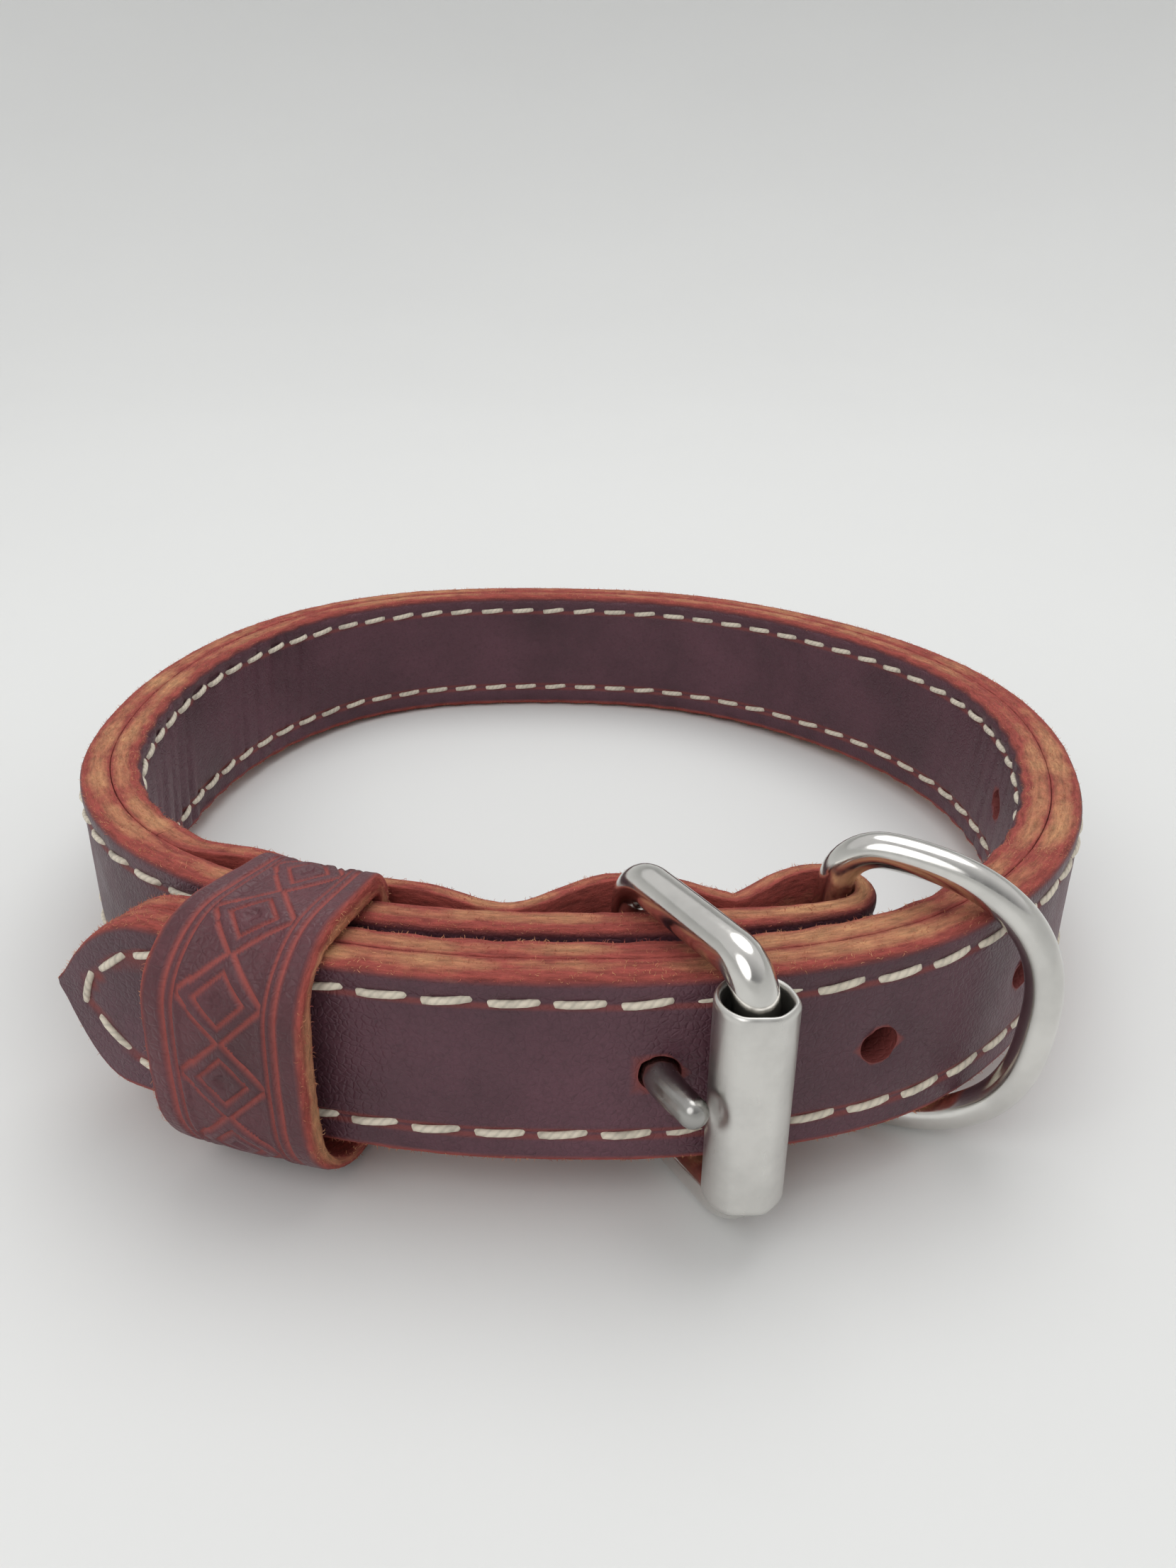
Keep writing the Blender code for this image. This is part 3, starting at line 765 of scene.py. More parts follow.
def nap_tree():
    """Scatters fibres over the cut edges, where grain is low and across is past the flesh."""
    inputs = (
        ("Fibre", "Object"),
        ("Density", "Float"),
        ("Length", "Float"),
        ("Seed", "Int"),
        ("Material", "Material"),
    )
    graph, given, output = node_tree("edge_nap", inputs)
    fibre = graph.add("GeometryNodeObjectInfo", {"Object": given["Fibre"]})
    finish = graph.add("GeometryNodeInputNamedAttribute", {"Name": "finish"}, data_type="FLOAT_COLOR")
    parts = graph.add("FunctionNodeSeparateColor", {"Color": finish.outputs["Attribute"]}).outputs
    limits = (("LESS_THAN", parts["Red"], NAP_GRAIN), ("GREATER_THAN", parts["Green"], NAP_ACROSS))
    tests = {}
    for number, (operation, value, limit) in enumerate(limits):
        test = graph.add("FunctionNodeCompare", data_type="FLOAT", operation=operation)
        tests[number] = graph.feed(test, {"A": value, "B": limit}).outputs["Result"]
    edges = graph.add("FunctionNodeBooleanMath", tests, operation="AND")
    inputs = {
        "Mesh": given["Geometry"],
        "Selection": edges.outputs[0],
        "Density": given["Density"],
        "Seed": given["Seed"],
    }
    scatter = graph.add("GeometryNodeDistributePointsOnFaces", inputs)
    spread = {
        "Min": (-NAP_TILT, -NAP_TILT, 0.0),
        "Max": (NAP_TILT, NAP_TILT, 6.283),
        "Seed": given["Seed"],
    }
    spin = graph.add("FunctionNodeRandomValue", spread, data_type="FLOAT_VECTOR")
    tilt = graph.add("FunctionNodeEulerToRotation", {"Euler": spin.outputs[0]})
    turns = {0: scatter.outputs["Rotation"], 1: tilt.outputs[0]}
    rotate = graph.add("FunctionNodeRotateRotation", turns, rotation_space="LOCAL")
    spread = {"Min": NAP_SHORTEST, "Max": 1.0, "Seed": given["Seed"]}
    stretch = graph.add("FunctionNodeRandomValue", spread, data_type="FLOAT")
    inputs = {
        "Points": scatter.outputs["Points"],
        "Instance": fibre.outputs["Geometry"],
        "Rotation": rotate.outputs[0],
        "Scale": graph.times(stretch.outputs[1], given["Length"]),
    }
    plant = graph.add("GeometryNodeInstanceOnPoints", inputs)
    return finish_tree(graph, plant.outputs["Instances"], given, output)


def grown_piece(name, base, tree, values, material):
    """A plain mesh of what a Geometry Nodes tree makes on a base mesh."""
    piece = new_piece(name, base, material)
    modifier = piece.modifiers.new(tree.name, "NODES")
    modifier.node_group = tree
    for item in tree.interface.items_tree:
        if item.name in values:
            modifier[item.identifier] = values[item.name]
    bake_modifiers(piece)
    return piece


# Leather


def face_shares():
    """Where the smooth face's columns stand between its two rounded edges: close beside the stitch rows."""
    face = STRAP_WIDTH - 2 * GRAIN_ROUND
    shares = [0.0, 1.0]
    for row in (UPPER_ROW, LOWER_ROW):
        for step in (-1.5, -1.0, -0.6, -0.3, 0, 0.3, 0.6, 1.0, 1.5):
            shares.append((row + step * MM + face / 2) / face)
    shares += [0.25 + 0.5 * k / 8 for k in range(9)]
    return sorted(share for share in shares if 0 <= share <= 1)[::-1]


FACE_SHARES = face_shares()


def ply_columns(low, high, thickness):
    """A ply's closed section: out, height, grain and across, from the flesh side up over the smooth face.

    grain is 1 on the smooth face and 0 on the cut edges and the flesh; across runs from flesh to grain.
    """
    width = high - low
    flesh_round = min(FLESH_ROUND, width / 5)
    grain_round = min(GRAIN_ROUND, width / 4)
    flesh = -FLESH * FLESH_RAISED
    columns = [(flesh, low + flesh_round + (width - 2 * flesh_round) * k / 6, 0.0, 0.0) for k in range(7)]
    upper, lower = [], []
    for k in range(1, 3):
        angle = math.pi / 2 * k / 2
        out = flesh + flesh_round * (1 - math.cos(angle))
        inset = flesh_round * (1 - math.sin(angle))
        upper.append((out, high - inset, 0.0, 0.02))
        lower.append((out, low + inset, 0.0, 0.02))
    for k in range(1, 7):
        out = flesh_round + (thickness - grain_round - flesh_round) * k / 7
        crown = EDGE_CROWN * math.sin(math.pi * k / 7)
        upper.append((out, high + crown, 0.0, out / thickness))
        lower.append((out, low - crown, 0.0, out / thickness))
    for k in range(0, 7):
        angle = math.pi / 2 * k / 7
        out = thickness - grain_round * (1 - math.sin(angle))
        inset = grain_round * (1 - math.cos(angle))
        upper.append((out, high - inset, ease(k, 2.5, 6.5), out / thickness))
        lower.append((out, low + inset, ease(k, 4.2, 7.4), out / thickness))
    columns += upper
    for share in FACE_SHARES:
        columns.append((thickness, low + grain_round + (width - 2 * grain_round) * share, 1.0, 1.0))
    return columns + lower[::-1]


def loop_bearing(distance):
    """The bearing at a distance from the tip, between -180 and 180."""
    bearing = bearing_at(distance)
    return bearing if bearing < 180 else bearing - 360


def crease_depth(distance, height):
    """How deep the inner face is creased: narrow valleys across the strap in the zones that bend most."""
    turn = loop_bearing(distance)
    depth = 0.0
    for first, last, deepest in CREASE_ZONES:
        zone = ease(turn, first, first + 14) * (1 - ease(turn, last - 14, last))
        if zone:
            lean = 0.16 * height + 1.6 * MM * noise.noise(Vector((distance * 60, height * 60, 4)))
            wave = noise.noise(Vector(((distance + lean) / CREASE_SPACING * 0.85, 7, first)))
            fade = 0.6 + 0.5 * noise.noise(Vector((distance * 90, height * 45, 9)))
            depth += deepest * MM * zone * fade * max(1 - abs(wave) * 3.4, 0) ** 1.3
    return depth


def hole_distances():
    first = distance_at(TONGUE_BEARING)
    return [first + HOLE_PITCH * number for number in range(HOLES)]


def face_dip(distance, height, groove):
    """How deep a place lies, in the row's groove or at a hole's rim, and its share of the scored line."""
    away = row_distance(distance, height)
    dip = groove * max(1 - away / GROOVE_REACH, 0) ** 1.5
    inwards = SCORED_LINE if abs(height) < UPPER_ROW else -SCORED_LINE
    score = max(1 - abs(away - inwards) / SCORED_REACH, 0) ** 0.7
    for hole in hole_distances():
        if abs(distance - hole) < RIM_END:
            rim = math.hypot(distance - hole, height) - HOLE / 2
            if rim > -0.5 * MM:
                dip += RIM_DEPTH * math.exp(-((max(rim, 0) / RIM_REACH) ** 2))
    return dip, score


def ply_piece(name, rows, inside, stitch, material):
    """A ply from rows of distance, flesh point, thickness, lower and upper edge."""
    sections, finish, route = [], [], []
    for i, (distance, point, thickness, low, high) in enumerate(rows):
        before, after = rows[max(i - 1, 0)][1], rows[min(i + 1, len(rows) - 1)][1]
        along = after - before
        normal = Vector((along.y, -along.x, 0)).normalized()
        pucker = 0.5 + 0.5 * math.cos(2 * math.pi * distance / stitch.pitch)
        section = []
        for out, height, grain, across in ply_columns(low, high, thickness):
            spot = Vector((distance * 260, height * 260, 5.0 if inside else 0.0))
            dip, score, lump = 0.0, 0.0, 0.0
            if grain == 1:
                dip, score = face_dip(distance, height, stitch.groove)
                dip += FACE_RIPPLE * noise.noise(spot)
                if inside:
                    dip += crease_depth(distance, height)
            elif across > 0:
                lump = EDGE_LUMP * noise.noise(spot * 2.2 + Vector((across * 3, 0, 0)))
                lump += EDGE_RIPPLE * noise.noise(Vector((distance * 95, across, 3 if inside else 8)))
                if inside and across > 0.6:
                    dip += EDGE_PUCKER * pucker * across
            section.append(point + normal * (out - dip) + UP * (height + math.copysign(lump, height)))
            finish.append((grain, across, score, 1.0))
            route.append((distance, out, height))
        sections.append(section)
    points, faces = skin(sections)
    return new_piece(name, place_mesh(name, points, faces, finish, route), material)


def strap_distances(last, creased):
    """Distances of a ply's sections: close together at the tip, and where the inner face is creased."""
    distances = [TIP_UPPER_CUT * (k / 16) ** 1.7 for k in range(17)]
    while True:
        step = SECTION_STEP
        if creased:
            turn = loop_bearing(distances[-1])
            step = CREASE_STEP if any(a < turn < b for a, b, _ in CREASE_ZONES) else step
        if distances[-1] + step * 1.5 > last:
            return distances + [last]
        distances.append(distances[-1] + step)


def turned_thickness(bearing):
    """The turned back end thins from the butt, where it meets the inner ply, to the keeper."""
    return PLY + (TURN_BACK_PLY - PLY) * ease(bearing - 360, BUTT_BEARING, KEEPER_BEARING)


def outer_rows():
    """Round the loop, round the ring's bar and back behind the buckle."""
    rows = []
    for distance in strap_distances(distance_at(360 + RING_BEARING), False):
        bearing = bearing_at(distance)
        low, high = tip_heights(distance)
        thickness = PLY + (TURN_BACK_PLY - PLY) * ease(bearing - 360, BUCKLE_BEARING * 2, RING_BEARING)
        rows.append((distance, seam_offset(bearing, GRAIN - thickness), thickness, low, high))
    normal = seam_normal(360 + RING_BEARING)
    fold_radius = RING_WIRE / 2 + RING_ROOM
    forward = normal.cross(UP) * -1
    distance = rows[-1][0]
    for i in range(1, FOLD_STEPS + 1):
        angle = math.pi * i / FOLD_STEPS
        turned = normal * math.cos(angle) + forward * math.sin(angle)
        distance += math.pi * fold_radius / FOLD_STEPS
        rows.append((distance, RING_BAR + turned * fold_radius, TURN_BACK_PLY, -HALF_WIDTH, HALF_WIDTH))
    bearing = 360 + RING_BEARING - TURNED_BEARINGS
    while bearing > 360 + BUTT_BEARING:
        distance += TURNED_STEP
        place = seam_offset(bearing, -parting(bearing))
        rows.append((distance, place, turned_thickness(bearing), -HALF_WIDTH, HALF_WIDTH))
        bearing -= TURNED_BEARINGS
    return rows


def inner_rows():
    stop = 360 + BUTT_BEARING - math.degrees(BUTT_GAP / LOOP_RADIUS)
    rows = []
    for distance in strap_distances(distance_at(stop), True):
        low, high = tip_heights(distance)
        rows.append((distance, seam_offset(bearing_at(distance), -FLESH), PLY, low, high))
    return rows[::-1]


def punch(pieces):
    """The tongue's hole lies on the tongue's own line; the others are square to the strap."""
    reach = GRAIN * 2
    for number in range(HOLES):
        if number == 0:
            line = TONGUE_AXIS
            middle = HINGE_BAR + line * (seam(TONGUE_BEARING) - HINGE_BAR).length
        else:
            bearing = bearing_after(TONGUE_BEARING, HOLE_PITCH * number)
            line = seam_normal(bearing)
            middle = seam(bearing)
        for piece in pieces:
            cutter = round_bar(f"hole_{number + 1}", middle - line * reach, middle + line * reach, HOLE / 2)
            combine(piece, cutter, "DIFFERENCE")


def cut_tongue_slot(piece):
    along = TONGUE_AXIS.cross(UP)
    half_length = EYE_RADIUS + FIT
    half_height = TONGUE_EYE_WIDTH / 2 + FIT
    finish = HINGE_BAR + TONGUE_AXIS * (BUCKLE_WIRE / 2 + BAR_ROOM + PLY + LAP_GAP / 2)
    corners = (
        (-half_length, -half_height),
        (half_length, -half_height),
        (half_length, half_height),
        (-half_length, half_height),
    )
    points, faces = skin([[end + along * x + UP * z for x, z in corners] for end in (HINGE_BAR, finish)])
    cutter = bpy.data.objects.new("tongue_slot", place_mesh("tongue_slot", points, faces))
    bpy.context.scene.collection.objects.link(cutter)
    combine(piece, cutter, "DIFFERENCE")


# Keeper


def run_lengths(flat):
    """How far along a flat line each of its points is."""
    return np.concatenate([[0], np.cumsum(np.sqrt((np.diff(flat, axis=0) ** 2).sum(axis=1)))])


def keeper_outline(back, front, skin_depth, steps):
    """The keeper's outline grown outwards by skin_depth, with the distance round it from the front's middle.

    The leather is pressed thinner over its two front corners, so its outside is rounder than its inside.
    """
    depth = (front - back).length
    normal = (front - back).normalized()
    top = HALF_WIDTH + KEEPER_TOP_ROOM
    bottom = -HALF_WIDTH - KEEPER_BOTTOM_ROOM
    shoulder = KEEPER_SHOULDER * skin_depth / KEEPER_LEATHER
    corners = (
        (0, bottom, KEEPER_REAR_BOTTOM_BEND, 180),
        (depth, bottom, KEEPER_BOTTOM_BEND + shoulder, 270),
        (depth, top, KEEPER_TOP_BEND + shoulder, 0),
        (0, top, KEEPER_REAR_TOP_BEND, 90),
    )
    raw = []
    for out, height, bend, start in corners:
        middle_out = out + bend if out == 0 else out - bend
        middle_height = height + bend if height == bottom else height - bend
        for k in range(13):
            angle = math.radians(start + 90 * k / 12)
            raw.append((
                middle_out + (bend + skin_depth) * math.cos(angle),
                middle_height + (bend + skin_depth) * math.sin(angle),
            ))
    raw.append(raw[0])
    flat = np.array(raw)
    runs = run_lengths(flat)
    wanted = np.linspace(0, runs[-1], steps, endpoint=False)
    outs, heights = np.interp(wanted, runs, flat[:, 0]), np.interp(wanted, runs, flat[:, 1])
    middle = (top + bottom) / 2
    start = wanted[int(np.argmin(np.abs(heights - middle) + (outs < depth / 2)))]
    crown = KEEPER_BULGE * np.clip(1 - ((heights - middle) / (top - middle)) ** 2, 0, 1) * (outs > depth / 2)
    points = [back + normal * out + UP * height for out, height in zip(outs + crown, heights)]
    return [(point, run - start) for point, run in zip(points, wanted)]


def tool_marks(across, along, tooling):
    """Shares of the depth and of the red line at a place: a double border round a row of diamonds."""
    line = tooling.line
    half = tooling.border - FIELD_INSET
    lines = [1 - ((abs(across) - tooling.border) / line) ** 2]
    lines.append(1 - ((abs(across) - tooling.border + SECOND_BORDER) / (line * 0.75)) ** 2)
    field = 0.0
    if abs(across) < half:
        part = abs((along / tooling.diamond + 0.5) % 1 - 0.5) * 2
        size = abs(across) / half + part
        inside = 1 - ease(abs(across) / half, 0.9, 1.0)
        # Two outlines of a diamond, one in the other
        lines.append(1 - ((size - 1.06) * half * 0.7 / line) ** 2)
        lines.append(1 - ((size - 0.6) * half * 0.7 / (line * 0.8)) ** 2)
        # The pressed ground between the diamonds, and the dot in the middle of each
        ground = 0.6 * ease(size, 1.1, 1.25) * inside
        dot = 0.75 * (1 - ease(size, 0.16, 0.26))
        field = max(ground, dot)
    line_share = max(max(lines), 0.0)
    return max(line_share, field), line_share


def keeper_profile():
    """Across the keeper's width: place from -1 to 1, depth in the leather, and the grain of the finish."""
    half = KEEPER_WIDTH / 2
    profile = [(-1 + 2 * k / 8, 0.0, 0.0) for k in range(1, 8)]
    side = [(1 - KEEPER_FLESH_ROUND / half, 0.0, 0.0), (1.0, 0.09, 0.0)]
    for k in range(1, 7):
        side.append((1.0 + KEEPER_CROWN / half * math.sin(math.pi * k / 6), 0.09 + 0.58 * k / 6, 0.0))
    for k in range(1, 7):
        angle = math.pi / 2 * k / 6
        place = 1 - KEEPER_EDGE_ROUND / half * (1 - math.cos(angle))
        side.append((place, 0.67 + 0.33 * math.sin(angle), ease(k, 2.5, 6)))
    last = side[-1][0]
    profile += side
    profile += [(last * (1 - 2 * k / 60), 1.0, 1.0) for k in range(1, 60)]
    return profile + [(-place, depth, grain) for place, depth, grain in reversed(side)]


def keeper_piece(tooling, material):
    """The band as closed rings across its width: smooth face outside, rounded edges, flesh inside."""
    around = 360
    half_turn = math.degrees(KEEPER_WIDTH / 2 / outline_radius(KEEPER_BEARING))
    sections, finish, route = [], [], []
    for place, depth, grain in keeper_profile():
        bearing = KEEPER_BEARING + half_turn * place
        front = seam_offset(bearing, GRAIN + KEEPER_FRONT_ROOM)
        back = seam_offset(360 + bearing, FLESH - BAR_ROOM)
        inner = keeper_outline(back, front, 0, around)
        outer = keeper_outline(back, front, KEEPER_LEATHER, around)
        across = KEEPER_WIDTH / 2 * place
        ring = []
        for (inside, _), (outside, run) in zip(inner, outer):
            sunk, line = tool_marks(across, run, tooling) if grain == 1 else (0.0, 0.0)
            wear = KEEPER_WEAR * noise.noise(outside * 300) + KEEPER_GRAIN * noise.noise(outside * 1100)
            share = depth - (sunk * tooling.depth + wear * max(grain, 0.3)) / KEEPER_LEATHER * (depth > 0)
            ragged = UP.cross(front - back).normalized() * KEEPER_RAGGED * noise.noise(outside * 700)
            ragged *= grain < 0.5
            ring.append(inside.lerp(outside, share) + ragged)
            finish.append((grain, depth, line, 1.0))
            route.append((run, depth * KEEPER_LEATHER, across))
        sections.append(ring)
    points, faces = skin(sections, closed=True)
    return new_piece("keeper_band", place_mesh("keeper_band", points, faces, finish, route), material)


# Stitches and nap


def stitch_frames(face, pitch, runs):
    """Place, along and normal of each stitch, from a face and runs of (distance, height) points on it."""
    frames = []
    for run in runs:
        flat = np.array(run)
        steps = run_lengths(flat)
        count = int(steps[-1] / pitch)
        for k in range(count + 1):
            ends = []
            for shift in (-0.2, 0, 0.2):
                at = k * pitch + shift * pitch
                distance, height = (np.interp(at, steps, column) for column in flat.T)
                ends.append(face(distance) + (height,))
            (before, _, low), (middle, normal, height), (after, _, high) = ends
            along = (after + UP * high) - (before + UP * low)
            frames.append((middle + UP * height, along.normalized(), normal))
    return frames


def strap_runs(last):
    """The two rows and the line round the tip, as one run of (distance, height)."""
    upper = [(d, UPPER_ROW) for d in np.arange(last, TIP_LINE[0].x, -4 * MM)]
    lower = [(d, LOWER_ROW) for d in np.arange(TIP_LINE[-1].x, last, 4 * MM)][1:]
    return [upper + [(point.x, point.y) for point in TIP_LINE] + lower]


def stitch_shape(material):
    """One stitch of unit length and thickness along X, whose ends dip into their holes.

    Its UV map runs along the thread and round it, for the twist in its bump and in the painted shade between
    strands.
    """
    sides = 8
    shares = (-1.0, -0.86, -0.45, 0.0, 0.45, 0.86, 1.0)
    sections = []
    for share in shares:
        thin = 0.4 if abs(share) == 1 else 1.0
        rise = 0.24 * (1 - share ** 2) - 0.62 * abs(share) ** 9
        ring = []
        for k in range(sides):
            angle = 2 * math.pi * k / sides
            across, up = math.cos(angle) * 0.5 * thin, math.sin(angle) * 0.42 * thin
            ring.append(Vector((share * 0.5, across, up + rise)))
        sections.append(ring)
    points, faces = skin(sections)
    mesh = bpy.data.meshes.new("stitch")
    mesh.from_pydata(points, [], faces)
    twist = mesh.uv_layers.new(name="thread")
    for row in range(len(shares) - 1):
        for k in range(sides):
            corners = mesh.polygons[row * sides + k].loop_indices
            for corner, (along, around) in zip(corners, ((0, 0), (0, 1), (1, 1), (1, 0))):
                twist.data[corner].uv = (points[(row + along) * sides].x + 0.5, (k + around) / sides)
    mesh.shade_smooth()
    piece = new_piece("stitch", mesh, material)
    piece.hide_render = True
    return piece


def fibre_shape(material):
    """One loose fibre of unit length, tapered and bent over."""
    path = [Vector((0.62 * t * t, 0.12 * math.sin(3 * t), 0.62 * t)) for t in (0, 0.5, 1.0)]
    points, faces = skin(wire_sections(path, [0.07, 0.055, 0.02], 3))
    mesh = bpy.data.meshes.new("fibre")
    mesh.from_pydata(points, [], faces)
    piece = new_piece("fibre", mesh, material)
    piece.hide_render = True
    return piece


def stitch_points(name, frames):
    """A mesh of bare points, each with the turn that lays a stitch along X with its back on Z."""
    mesh = bpy.data.meshes.new(name)
    mesh.from_pydata([TO_TABLE @ place for place, _, _ in frames], [], [])
    turns = []
    tilt = TO_TABLE.to_3x3()
    for _, along, normal in frames:
        x = (tilt @ along).normalized()
        z = (tilt @ normal).normalized()
        z = (z - x * z.dot(x)).normalized()
        turns.append(Matrix((x, z.cross(x), z)).transposed().to_euler()[:])
    layer = mesh.attributes.new("turn", "FLOAT_VECTOR", "POINT")
    layer.data.foreach_set("vector", np.array(turns, np.float32).ravel())
    return mesh


# Hardware


def frame_path():
    """The buckle's wire: hinge bar, lower rail, front bar and upper rail, with rounded corners."""
    reach = (FRONT_BAR - HINGE_BAR).normalized()
    path = []
    corners = ((HINGE_BAR, -1, reach), (FRONT_BAR, -1, -reach), (FRONT_BAR, 1, -reach), (HINGE_BAR, 1, reach))
    for place, side, inwards in corners:
        centre = place + UP * side * (RAIL_HEIGHT - BUCKLE_BEND) + inwards * BUCKLE_BEND
        to_bar, to_rail = -inwards * BUCKLE_BEND, UP * side * BUCKLE_BEND
        first, second = (to_bar, to_rail) if (place == HINGE_BAR) == (side < 0) else (to_rail, to_bar)
        path += arc(centre, first, second, 14)
    return path


def ring_matrix():
    turn, dip, lean = (
        Matrix.Rotation(math.radians(angle), 4, axis)
        for angle, axis in ((RING_TURN - 90, "Z"), (RING_DIP, "Y"), (RING_LEAN, "X"))
    )
    return Matrix.Translation(RING_BAR + UP * RING_LIFT) @ turn @ dip @ lean


def ring_path():
    """The D-ring: its bar in the fold, rounded corners and a full bow."""
    half = (RING_INSIDE + RING_WIRE) / 2
    out, up = Vector((RING_CORNER, 0, 0)), Vector((0, 0, RING_CORNER))
    path = arc(Vector((RING_CORNER, 0, RING_CORNER - half)), -out, -up, 12)
    steps = 90
    for k in range(1, steps):
        angle = math.pi * (k / steps - 0.5)
        reach = RING_CORNER + (RING_REACH - RING_CORNER) * math.cos(angle) ** RING_FULLNESS
        height = math.copysign(half * abs(math.sin(angle)) ** RING_FULLNESS, angle)
        path.append(Vector((reach, 0, height)))
    path += arc(Vector((RING_CORNER, 0, half - RING_CORNER)), up, -out, 12)
    smooth = [Vector(point) for point in path]
    for _ in range(3):
        count = len(smooth)
        smooth = [(smooth[i - 1] + smooth[i] * 2 + smooth[(i + 1) % count]) / 4 for i in range(count)]
    matrix = ring_matrix()
    return [matrix @ point for point in smooth]


def wire_piece(name, path, wire, material):
    points, faces = skin(wire_sections(path, [wire / 2] * len(path), 36, closed=True), closed=True)
    return new_piece(name, place_mesh(name, points, faces), material)


def tongue_end():
    turn = Matrix.Rotation(math.radians(TONGUE_END_TURN), 3, "Z")
    beside = (turn @ seam_normal(TONGUE_BEARING)).normalized()
    return FRONT_BAR + beside * (ROLLER / 2 + TONGUE_TIP / 2 + FIT)


def tongue_piece(material):
    """From the eye straight through the strap, bent to the roller, with a rounded end."""
    leaves = HINGE_BAR + TONGUE_AXIS * ((seam_offset(TONGUE_BEARING, GRAIN) - HINGE_BAR).length + FIT)
    end = tongue_end()
    start = HINGE_BAR + TONGUE_AXIS * (BUCKLE_WIRE / 2 + EYE_PLAY + TONGUE_EYE_WALL * 0.6)
    corner = leaves + TONGUE_AXIS * TONGUE / 3
    path = [start, leaves - TONGUE_AXIS * TONGUE / 4]
    radii = [TONGUE / 2, TONGUE / 2]
    bend = [k / 12 for k in range(13)]
    curve = [leaves.lerp(corner, t).lerp(corner.lerp(end, t), t) for t in bend]
    heading = (curve[-1] - curve[-2]).normalized()
    body = [point for point in curve if (point - end).length > TONGUE_TIP * 0.42]
    for i, point in enumerate(body):
        share = i / (len(body) - 1)
        path.append(point)
        radii.append((TONGUE + (TONGUE_TIP - TONGUE) * share) / 2)
    base = end - heading * TONGUE_TIP * 0.36
    for k in range(9):
        angle = math.pi / 2 * k / 8.6
        path.append(base + heading * TONGUE_TIP / 2 * math.sin(angle))
        radii.append(TONGUE_TIP / 2 * math.cos(angle))
    points, faces = skin(wire_sections(path, radii, 32))
    piece = new_piece("tongue", place_mesh("tongue", points, faces), material)
    half = UP * TONGUE_EYE_WIDTH / 2
    combine(piece, round_bar("eye", HINGE_BAR - half, HINGE_BAR + half, EYE_RADIUS, 64), "UNION")
    bore = BUCKLE_WIRE / 2 + EYE_PLAY
    combine(piece, round_bar("bore", HINGE_BAR - half * 2, HINGE_BAR + half * 2, bore, 64), "DIFFERENCE")
    piece.data.set_sharp_from_angle(angle=math.radians(35))
    return piece


def roller_piece(material):
    """A rolled sheet tube with a ridge at its seam, a flatter front and the dent of the tongue."""
    towards = tongue_end() - FRONT_BAR
    dent_angle = math.atan2(towards.y, towards.x)
    half = BUCKLE_INSIDE / 2 - ROLLER_PLAY
    rows = [-1 + 2 * k / 56 for k in range(57)]

    def turn_from(angle, other):
        return (angle - other + math.pi) % (2 * math.pi) - math.pi

    columns = []
    for k in range(112):
        angle = 2 * math.pi * k / 112
        away = abs(turn_from(angle, math.radians(ROLLER_RIDGE_ANGLE)))
        ridge = ROLLER_RIDGE * max(1 - away / math.radians(ROLLER_RIDGE_SPREAD), 0) ** 1.5
        turn = turn_from(angle, dent_angle)
        front = turn_from(angle, math.radians(ROLLER_FLAT_ANGLE))
        flat = ROLLER_FLAT * max(1 - (front / 0.55) ** 2, 0) ** 2
        column = []
        for inside in (False, True):
            side = []
            for share in rows:
                height = share * half
                spot = math.hypot(turn / math.radians(DENT_SPREAD), height / (DENT_LENGTH / 2))
                dent = DENT_DEPTH * (1 - ease(spot, 0.2, 1))
                near_rim = max(1 - (half - abs(height)) / ROLLER_LIP, 0)
                thin = ROLLER_LIP * (1 - math.sqrt(max(1 - near_rim ** 2, 0)))
                radius = ROLLER / 2 + ridge - dent - flat
                radius += -ROLLER_WALL + thin if inside else -thin
                side.append(FRONT_BAR + Vector((math.cos(angle) * radius, math.sin(angle) * radius, height)))
            column += side[::-1] if inside else side
        columns.append(column)
    points, faces = skin(columns, closed=True)
    return new_piece("roller", place_mesh("roller", points, faces), material)


# Materials


def new_material(name):
    """A material with its graph, its shader and its Object coordinates."""
    material = bpy.data.materials.new(name)
    material.use_nodes = True
    graph = Graph(material.node_tree)
    place = graph.add("ShaderNodeTexCoord").outputs["Object"]
    return material, graph, material.node_tree.nodes["Principled BSDF"], place


def toned(colour, share, lift=0.0):
    """A colour made darker or lighter."""
    return tuple(min(value * share + lift, 1) for value in colour)


def pebble_grain(graph, place, scale):
    """Height of the fine uneven pebbles of a waxed grain face."""
    warp = graph.add("ShaderNodeTexNoise", {"Scale": 500, "Vector": place})
    inputs = {0: warp.outputs["Color"], 1: (PEBBLE_WARP, PEBBLE_WARP, PEBBLE_WARP), 2: place}
    bend = graph.add("ShaderNodeVectorMath", inputs, operation="MULTIPLY_ADD")
    cells = graph.add("ShaderNodeTexVoronoi", feature="DISTANCE_TO_EDGE")
    graph.feed(cells, {"Scale": scale, "Vector": bend.outputs["Vector"]})
    return graph.ramp(cells.outputs["Distance"], (0.0, 0.0), (0.2, 1.0))


